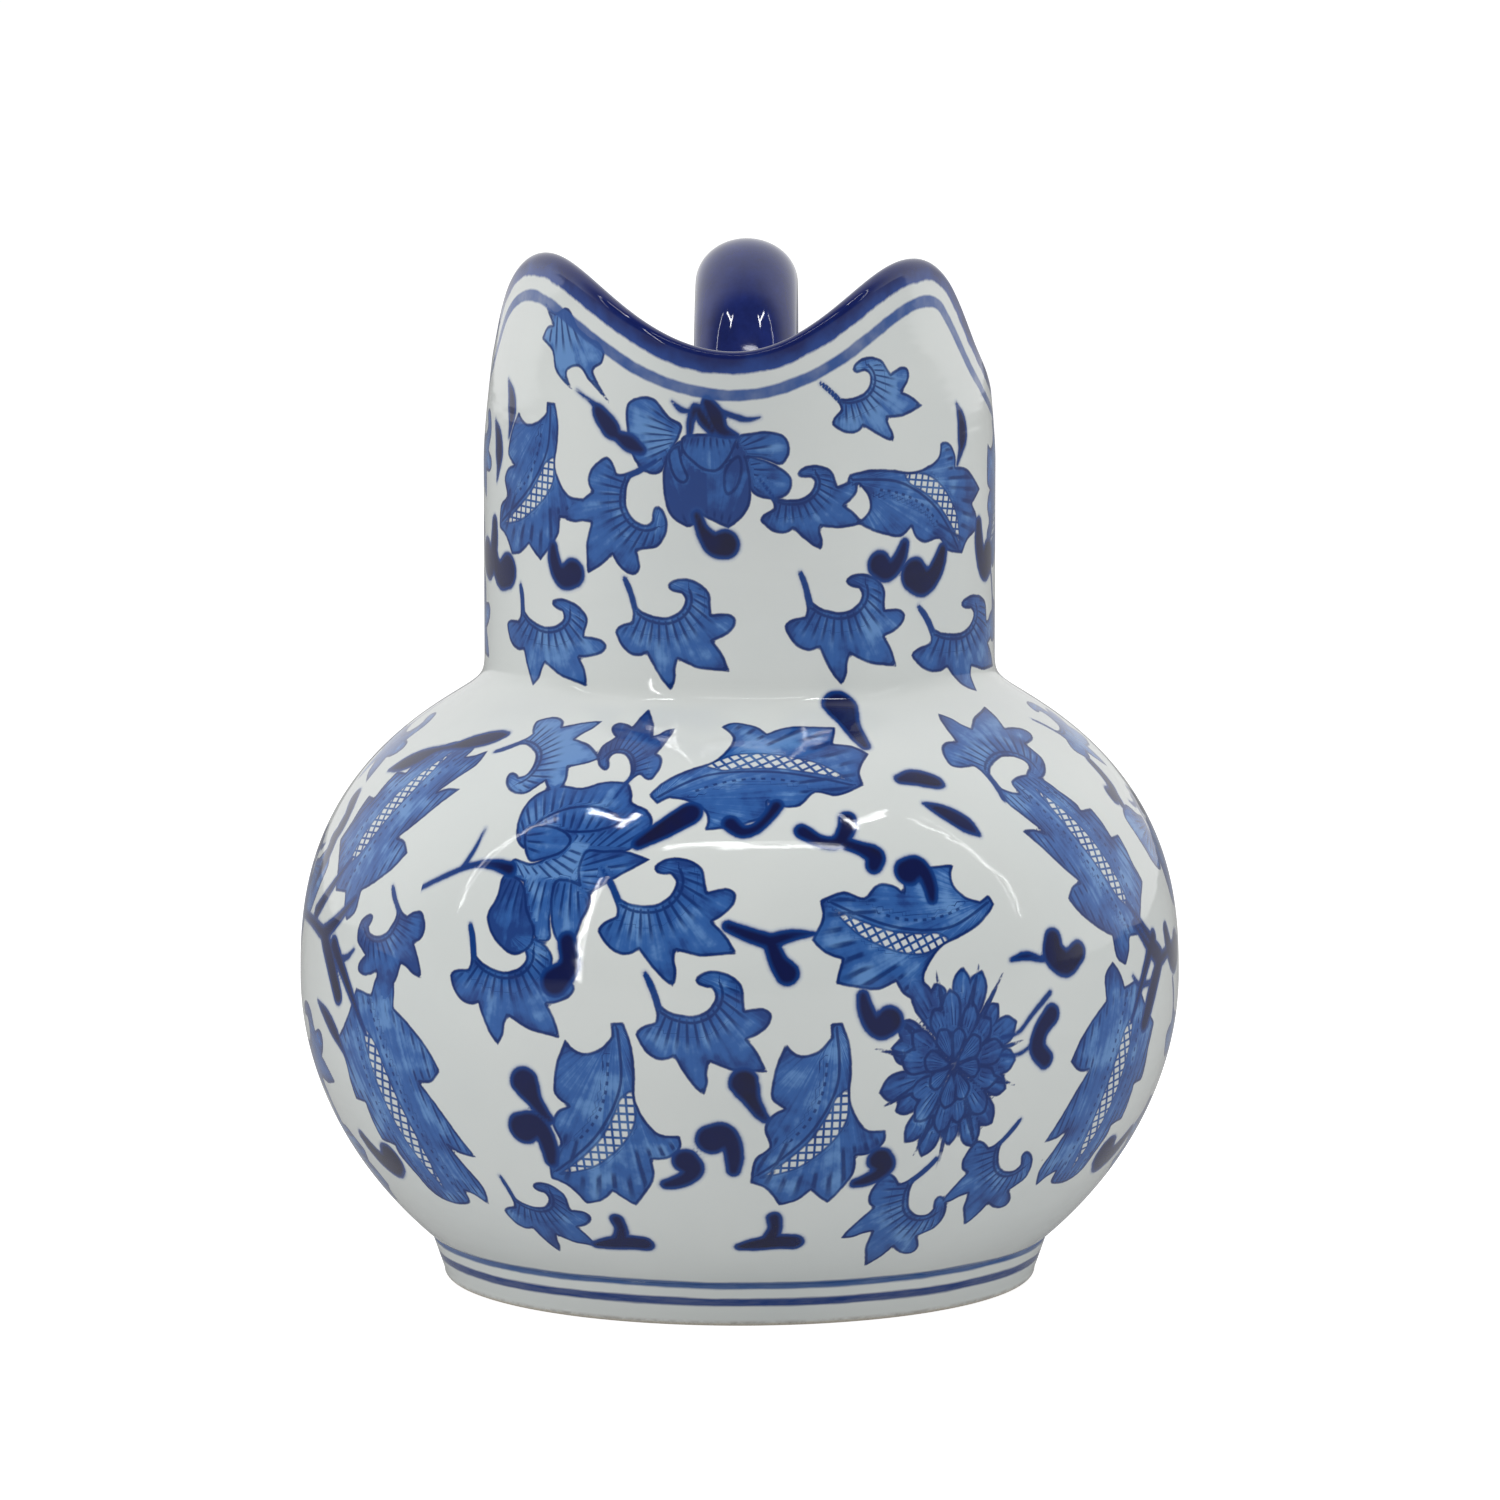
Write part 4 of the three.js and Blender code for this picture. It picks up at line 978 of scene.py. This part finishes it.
class Nodes:
    """Short names for building the nodes of a material, or of the world."""

    def __init__(self, owner, shader="BsdfPrincipled", output="OutputMaterial"):
        self.owner = owner
        owner.use_nodes = True
        self.tree = owner.node_tree
        self.tree.nodes.clear()
        self.shader = self.node(shader)
        self.tree.links.new(self.shader.outputs[0], self.node(output).inputs["Surface"])

    def node(self, kind, **settings):
        made = self.tree.nodes.new("ShaderNode" + kind)
        for key, value in settings.items():
            setattr(made, key, value)
        return made

    def link(self, value, socket):
        if isinstance(value, bpy.types.NodeSocket):
            self.tree.links.new(value, socket)
        else:
            socket.default_value = value

    def math(self, operation, *values):
        made = self.node("Math", operation=operation)
        for value, socket in zip(values, made.inputs):
            self.link(value, socket)
        return made.outputs[0]

    def plus(self, a, b):
        return self.math("ADD", a, b)

    def minus(self, a, b):
        return self.math("SUBTRACT", a, b)

    def times(self, a, b):
        return self.math("MULTIPLY", a, b)

    def scaled(self, value, factor, more):
        """The value times a factor, plus more."""
        return self.math("MULTIPLY_ADD", value, factor, more)

    def size(self, value):
        """The value without its sign."""
        return self.math("ABSOLUTE", value)

    def step(self, value, low, high):
        """Smoothly 0 to 1 as the value goes from low to high."""
        made = self.node("MapRange", interpolation_type="SMOOTHSTEP")
        self.link(value, made.inputs["Value"])
        bounds = (low, high, 0, 1) if low < high else (high, low, 1, 0)
        for name, bound in zip(("From Min", "From Max", "To Min", "To Max"), bounds):
            made.inputs[name].default_value = bound
        return made.outputs[0]

    def mix(self, share, a, b):
        made = self.node("Mix", data_type="RGBA")
        self.link(share, made.inputs["Factor"])
        for value, socket in ((a, made.inputs["A"]), (b, made.inputs["B"])):
            self.link(value if isinstance(value, bpy.types.NodeSocket) else (*value, 1.0), socket)
        return made.outputs["Result"]

    def split(self, vector):
        parts = self.node("SeparateXYZ")
        self.link(vector, parts.inputs[0])
        return parts.outputs[0], parts.outputs[1], parts.outputs[2]

    def stored(self, name):
        return self.split(self.node("Attribute", attribute_name=name).outputs["Vector"])

    def place(self):
        """Position on the piece in millimetres."""
        coordinate = self.node("TexCoord")
        scaled = self.node("VectorMath", operation="SCALE")
        self.link(coordinate.outputs["Object"], scaled.inputs[0])
        scaled.inputs["Scale"].default_value = 1000
        return scaled.outputs[0]

    def noise(self, place, size, detail=3.0, rough=0.55, stretch=None):
        """Noise centred on 0, from about -0.5 to 0.5, with features of a size in millimetres."""
        if stretch:
            shaped = self.node("VectorMath", operation="MULTIPLY")
            self.link(place, shaped.inputs[0])
            shaped.inputs[1].default_value = stretch
            place = shaped.outputs[0]
        made = self.node("TexNoise")
        self.link(place, made.inputs["Vector"])
        made.inputs["Scale"].default_value = 1 / size
        made.inputs["Detail"].default_value = detail
        made.inputs["Roughness"].default_value = rough
        return self.minus(made.outputs["Fac"], 0.5)

    def bump(self, height, distance, onto=None):
        made = self.node("Bump")
        made.inputs["Distance"].default_value = distance
        self.link(height, made.inputs["Height"])
        if onto is not None:
            self.link(onto, made.inputs["Normal"])
        return made.outputs["Normal"]

    def most(self, *values):
        top = values[0]
        for value in values[1:]:
            top = self.math("MAXIMUM", top, value)
        return top


GLAZE = (0.735, 0.765, 0.745)
GLAZE_DEEP = (0.66, 0.70, 0.69)
WASH_PALE = (0.115, 0.270, 0.580)
WASH = (0.022, 0.112, 0.385)
WASH_DEEP = (0.004, 0.044, 0.225)
LINE_BLUE = (0.003, 0.025, 0.150)
INK_BLUE = (0.003, 0.008, 0.070)
INK_BROWN = (0.010, 0.009, 0.032)
COBALT = (0.0045, 0.0120, 0.105)
COBALT_THIN = (0.016, 0.060, 0.280)
HANDLE_COBALT = (0.0045, 0.0100, 0.080)
HANDLE_COBALT_THIN = (0.013, 0.027, 0.180)
RIM_LINE = (0.020, 0.082, 0.310)
FOOT_LINE_UPPER = (0.026, 0.092, 0.290)
FOOT_LINE_LOWER = (0.008, 0.040, 0.200)
IRON_SPECK = (0.20, 0.17, 0.15)
RUST = (0.16, 0.07, 0.03)
BISCUIT = (0.62, 0.58, 0.50)
FOOT_DUST = (0.40, 0.35, 0.29)


def glaze_surface(n, place, waviness=1.0):
    """The gloss of a clear glaze over thrown clay: slow waves in the wall and a fine orange skin."""
    slow = n.noise(place, 26, 1)
    throwing = n.noise(place, 9, 2, stretch=(0.35, 0.35, 1.6))
    fine = n.noise(place, 1.6, 2)
    first = n.bump(slow, 0.00080 * waviness)
    second = n.bump(throwing, 0.00013 * waviness, onto=first)
    third = n.bump(fine, 0.000006, onto=second)
    n.link(third, n.shader.inputs["Normal"])
    n.shader.inputs["Roughness"].default_value = 0.055
    n.shader.inputs["IOR"].default_value = 1.5
    n.shader.inputs["Coat Weight"].default_value = 0.25
    n.shader.inputs["Coat Roughness"].default_value = 0.03


def white_ground(n, place):
    """White body under a faintly green glaze, with a few iron specks."""
    pooled = n.step(n.noise(place, 38, 2.0), -0.25, 0.25)
    ground = n.mix(n.times(pooled, 0.5), GLAZE, GLAZE_DEEP)
    cells = n.node("TexVoronoi", feature="F1")
    n.link(place, cells.inputs["Vector"])
    cells.inputs["Scale"].default_value = 1 / 9.0
    draw, breadth, _ = n.split(cells.outputs["Color"])
    rare = n.step(draw, 0.93, 0.935)
    size = n.scaled(breadth, 0.035, 0.012)
    dot = n.step(n.math("DIVIDE", cells.outputs["Distance"], size), 1.3, 0.6)
    speck = n.times(n.times(dot, rare), 0.75)
    return n.mix(speck, ground, IRON_SPECK)


def foot_lines(n, place, colour):
    """Two thin blue lines turned round the foot, each at a height and with a half width."""
    wander = n.noise(place, 30, 1.0)
    height = n.scaled(wander, 0.7, n.split(place)[2])
    grain = n.noise(place, 2.2, 3.0, stretch=(0.3, 0.3, 2.0))

    def line(middle, half):
        away = n.size(n.minus(height, middle))
        edge = n.scaled(grain, 0.5, away)
        return n.step(edge, half + 0.28, half - 0.22)

    weight = n.scaled(grain, 0.3, 0.94)
    upper = n.times(line(FOOT_LINE_HEIGHTS[0], 0.68), weight)
    lower = n.times(line(FOOT_LINE_HEIGHTS[1], 0.74), weight)
    return n.mix(lower, n.mix(upper, colour, FOOT_LINE_UPPER), FOOT_LINE_LOWER)


def painted_glaze():
    n = Nodes(bpy.data.materials.new("painted_porcelain_glaze"))
    place = n.place()
    back, middle, front = n.stored("wash")
    ink, rib, vein = n.stored("line")
    gate, tone, lens = n.stored("field")
    cross_u, cross_v, band = n.stored("cross")

    shake = n.times(n.noise(place, 1.5, 3.0), 0.42)
    grain = n.noise(place, 0.9, 3.0, 0.6)
    cloud = n.noise(place, 5.0, 3.0, 0.5)
    broad = n.noise(place, 17.0, 2.0)

    def covers(distance):
        return n.step(n.plus(distance, shake), 0.20, -0.16)

    cover_back, cover_middle, cover_front = covers(back), covers(middle), covers(front)
    above_back = n.most(cover_middle, cover_front)
    cover = n.most(cover_back, above_back)

    press = n.step(cloud, -0.35, 0.2)

    def edge_line(distance):
        inner = n.plus(distance, 0.16)
        thin = n.size(n.plus(inner, n.times(shake, 0.6)))
        return n.step(thin, 0.42, 0.12)

    rim_back = n.times(edge_line(back), n.minus(1.0, above_back))
    rim_middle = n.times(edge_line(middle), n.minus(1.0, cover_front))
    outlines = n.times(n.most(rim_back, rim_middle, edge_line(front)),
                      n.scaled(press, 0.35, 0.65))

    count = n.size(n.minus(n.math("FRACT", n.plus(vein, 0.5)), 0.5))
    veins = n.times(n.step(n.scaled(grain, 0.12, count), 0.26, 0.07), gate)
    ribs = n.times(n.step(n.size(rib), 0.40, 0.12), cover)

    # Wash: paler where the brush ran dry, deeper where it pooled by an edge
    deepest = n.math("MINIMUM", n.math("MINIMUM", back, middle), front)
    pool = n.step(deepest, -2.4, -0.1)
    weight = n.plus(n.scaled(cloud, 2.3, 0.30), n.times(broad, 1.4))
    weight = n.plus(weight, n.times(grain, 0.30))
    strip = n.node("TexNoise", noise_dimensions="1D")
    n.link(n.times(vein, 1.35), strip.inputs["W"])
    strip.inputs["Scale"].default_value = 1.0
    strip.inputs["Detail"].default_value = 2.0
    weight = n.plus(weight, n.times(n.minus(strip.outputs["Fac"], 0.5), 1.3))
    weight = n.plus(n.scaled(pool, 0.36, weight), tone)
    pale = n.mix(n.step(weight, -0.15, 0.5), WASH_PALE, WASH)
    wash = n.mix(n.step(weight, 0.5, 1.15), pale, WASH_DEEP)

    inside_lens = n.step(lens, 0.05, -0.3)
    bar_u = n.size(n.minus(n.math("FRACT", cross_u), 0.5))
    bar_v = n.size(n.minus(n.math("FRACT", cross_v), 0.5))
    open_square = n.times(n.step(bar_u, 0.42, 0.27), n.step(bar_v, 0.42, 0.27))
    lens_rim = n.step(n.size(lens), 0.34, 0.1)
    outside_lens = n.step(lens, 0.35, 0.5)
    dot = n.times(n.step(bar_u, 0.30, 0.14), n.step(n.size(cross_v), 0.36, 0.16))
    dots = n.times(dot, n.times(outside_lens, cover))

    ground = white_ground(n, place)
    colour = n.mix(n.times(cover, 0.985), ground, wash)
    colour = n.mix(n.times(n.times(inside_lens, open_square), 0.94), colour, ground)
    bars = n.times(inside_lens, n.minus(1.0, open_square))
    lines = n.most(outlines, n.times(veins, 0.85), n.times(ribs, 0.85),
                   n.times(dots, 0.8), n.times(bars, 0.45),
                   n.times(n.times(lens_rim, cover), 0.55))
    colour = n.mix(lines, colour, LINE_BLUE)

    # Ink: the loaded brush, nearly black blue, browner where it is thickest, soft where it bleeds
    inked = n.step(n.plus(ink, n.times(shake, 0.7)), 0.26, -0.22)
    thick = n.step(n.plus(broad, n.times(cloud, 0.5)), -0.05, 0.35)
    bleed = n.times(n.step(n.plus(ink, shake), 0.75, -0.1), 0.30)
    colour = n.mix(bleed, colour, WASH)
    loaded = n.mix(n.step(ink, -0.15, -1.1), WASH_DEEP, n.mix(thick, INK_BLUE, INK_BROWN))
    colour = n.mix(inked, colour, loaded)

    # Rim: a broad cobalt band over the lip and a thinner line below it, both with the brush's drag
    drag = n.noise(place, 3.2, 4.0, 0.6, stretch=(1.0, 1.0, 0.45))
    worn = n.scaled(drag, 1.1, n.plus(broad, band))
    rim_band = n.step(worn, RIM_BAND + 0.3, RIM_BAND - 0.3)
    thin = n.step(n.scaled(band, 0.22, cloud), 0.15, 0.95)
    colour = n.mix(rim_band, colour, n.mix(thin, COBALT, COBALT_THIN))
    away = n.size(n.minus(n.scaled(broad, 0.8, band), RIM_LINE_DEPTH))
    second = n.step(n.scaled(drag, 0.5, away), 1.25, 0.75)
    second = n.times(second, n.scaled(press, 0.22, 0.76))
    colour = n.mix(second, colour, RIM_LINE)

    colour = foot_lines(n, place, colour)
    n.link(colour, n.shader.inputs["Base Color"])
    glaze_surface(n, place)
    return n.owner


def foot_glaze():
    """Glaze over the foot, wiped from its standing edge, where the bare body shows."""
    n = Nodes(bpy.data.materials.new("foot_porcelain_glaze"))
    place = n.place()
    ground = foot_lines(n, place, white_ground(n, place))
    drag = n.noise(place, 2.0, 3.0)
    line = n.scaled(drag, 0.7, n.split(place)[2])
    bare = n.step(line, 0.75, 0.35)
    scorched = n.times(n.step(line, 1.35, 0.7), n.step(drag, -0.25, 0.35))
    colour = n.mix(n.times(scorched, 0.55), ground, RUST)
    colour = n.mix(bare, colour, BISCUIT)
    dust = n.noise(place, 0.35, 2.0)
    colour = n.mix(n.times(bare, n.step(dust, -0.1, 0.4)), colour, FOOT_DUST)
    n.link(colour, n.shader.inputs["Base Color"])
    glaze_surface(n, place, 0.6)
    rough = n.scaled(bare, 0.55, 0.06)
    n.link(rough, n.shader.inputs["Roughness"])
    n.shader.inputs["Coat Weight"].default_value = 0.0
    return n.owner


def cobalt_glaze():
    """Solid cobalt under a thick gloss, a little paler where the glaze has run thin."""
    n = Nodes(bpy.data.materials.new("cobalt_gloss_glaze"))
    place = n.place()
    cloud = n.noise(place, 7.0, 4.0, 0.6)
    grain = n.noise(place, 0.8, 3.0)
    streak = n.noise(place, 5.0, 3.0, stretch=(1.6, 0.5, 0.35))
    weight = n.plus(cloud, n.scaled(grain, 0.3, n.times(streak, 0.5)))
    colour = n.mix(n.step(weight, -0.5, 0.5), HANDLE_COBALT, HANDLE_COBALT_THIN)
    n.link(colour, n.shader.inputs["Base Color"])
    glaze_surface(n, place, 0.45)
    n.shader.inputs["Coat Weight"].default_value = 0.5
    return n.owner


painted, foot_finish, cobalt = painted_glaze(), foot_glaze(), cobalt_glaze()

PIECES = [
    (make_foot(), "foot_ring", "foot_porcelain", foot_finish),
    (make_lower_belly(), "lower_belly", "painted_porcelain", painted),
    (make_upper_belly(), "upper_belly", "painted_porcelain", painted),
    (make_neck(), "neck_and_spout", "painted_porcelain", painted),
    (make_handle(), "handle", "cobalt_glaze", cobalt),
    (make_slip("upper_slip_fillet", True), "upper_luting_slip", "cobalt_glaze", cobalt),
    (make_slip("lower_slip_fillet", False), "lower_luting_slip", "cobalt_glaze", cobalt),
]
for piece, node, slot, material in PIECES:
    piece.data.materials.append(material)
    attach(piece, "root")
    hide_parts(node)

# ---------------------------------------------------------------- studio

floor_mesh = bpy.data.meshes.new("studio_floor")
FLOOR_HALF = 14
corners = [(FLOOR_HALF * x, FLOOR_HALF * y, 0) for x, y in ((-1, -1), (1, -1), (1, 1), (-1, 1))]
floor_mesh.from_pydata(corners, [], [(0, 1, 2, 3)])
floor = bpy.data.objects.new("studio_floor", floor_mesh)
bpy.context.scene.collection.objects.link(floor)
FLOOR_WHITE = (0.55, 0.55, 0.55)
FLOOR_IN_GLAZE = (0.16, 0.16, 0.16)
FLOOR_GLOW_SEEN = 0.86
FLOOR_GLOW = 0.20
ROOM_LEVEL = 0.24
WALL_LEVEL = 0.80
SKY_SEEN = 1.05
MIRROR_LOSS = 0.62

# The floor photographs white, but throws little light back up at the jug
n = Nodes(bpy.data.materials.new("pale_floor"))
ray = n.node("LightPath").outputs
n.shader.inputs["Roughness"].default_value = 0.9
n.shader.inputs["Specular IOR Level"].default_value = 0.1
n.shader.inputs["Emission Color"].default_value = (1, 1, 1, 1)
n.link(n.mix(ray["Is Glossy Ray"], FLOOR_WHITE, FLOOR_IN_GLAZE), n.shader.inputs["Base Color"])
n.link(n.scaled(ray["Is Camera Ray"], FLOOR_GLOW_SEEN - FLOOR_GLOW, FLOOR_GLOW),
       n.shader.inputs["Emission Strength"])
floor_mesh.materials.append(n.owner)

# The wall behind the jug is white and lit, and the room behind the camera is dimmer. The glaze mirrors a
# dimmer room than the one that lights it.
n = Nodes(bpy.data.worlds.new("studio"), "Background", "OutputWorld")
bpy.context.scene.world = n.owner
n.shader.inputs["Color"].default_value = (1, 1, 1, 1)
ray = n.node("LightPath").outputs
backward = n.step(n.split(n.node("TexCoord").outputs["Generated"])[1], -0.25, 0.35)
front = n.scaled(ray["Is Glossy Ray"], -MIRROR_LOSS * ROOM_LEVEL, ROOM_LEVEL)
room = n.scaled(backward, n.minus(WALL_LEVEL, front), front)
n.link(n.scaled(ray["Is Camera Ray"], n.minus(SKY_SEEN, room), room), n.shader.inputs["Strength"])


def softbox(name, place, aim, size, power, mirrored=True):
    """A rectangular light at a place in metres, aimed at a point of the jug. One that isn't mirrored is a
    wide soft fill, which the glaze doesn't show."""
    data = bpy.data.lights.new(name, "AREA")
    data.shape = "RECTANGLE"
    data.size, data.size_y = size
    data.energy = power
    lamp = bpy.data.objects.new(name, data)
    bpy.context.scene.collection.objects.link(lamp)
    lamp.location = place
    lamp.rotation_euler = (Vector(aim) - Vector(place)).to_track_quat("-Z", "Y").to_euler()
    lamp.visible_glossy = mirrored
    return lamp


softbox("left_softbox", (-1.50, -0.40, 0.55), (0, 0, 0.10), (0.8, 1.0), 4.0, mirrored=False)
softbox("right_softbox", (1.50, -0.40, 0.55), (0, 0, 0.10), (0.8, 1.0), 4.0, mirrored=False)
softbox("top_softbox", (0, -0.30, 1.7), (0, 0, 0.05), (1.3, 0.9), 6.4, mirrored=False)
softbox("front_fill", (0.0, -2.6, 0.9), (0, 0, 0.1), (2.4, 1.2), 7.2, mirrored=False)
softbox("ceiling_strip", (0.10, -0.92, 1.46), (0, 0, 0.10), (1.15, 0.045), 1.9)
softbox("left_strip", (-1.00, -1.24, 0.62), (0, 0, 0.10), (0.024, 1.15), 2.1)
for side, word in ((-1, "left"), (1, "right")):
    softbox(word + "_side_strip", (side * 1.20, -0.26, 0.92), (0, 0, 0.12), (0.014, 1.1), 0.50)
    softbox(word + "_window_bar", (side * 0.62, -0.34, 1.30), (0, 0, 0.10), (0.24, 0.03), 0.55)
    softbox(word + "_window_post", (side * 0.52, -0.44, 1.28), (0, 0, 0.10), (0.03, 0.16), 0.36)

# The camera as it stood for the photo, in metres about the jug's axis
CAMERA_TURN = math.radians(1)
CAMERA_DISTANCE = 1.2
CAMERA_HEIGHT = 0.2292
CAMERA_LENS = 159.33
LOOK_AT = Vector((0.001884, AXIS_Y, 0.09576))
camera_data = bpy.data.cameras.new("photo_camera")
camera_data.sensor_width = 36
camera_data.lens = CAMERA_LENS
camera_data.clip_start = 0.05
camera_data.clip_end = 60
camera = bpy.data.objects.new("photo_camera", camera_data)
bpy.context.scene.collection.objects.link(camera)
camera.location = (
    CAMERA_DISTANCE * math.sin(CAMERA_TURN), AXIS_Y - CAMERA_DISTANCE * math.cos(CAMERA_TURN), CAMERA_HEIGHT)
camera.rotation_euler = (LOOK_AT - camera.location).to_track_quat("-Z", "Y").to_euler()
bpy.context.scene.camera = camera
bpy.context.scene.view_settings.view_transform = "Standard"
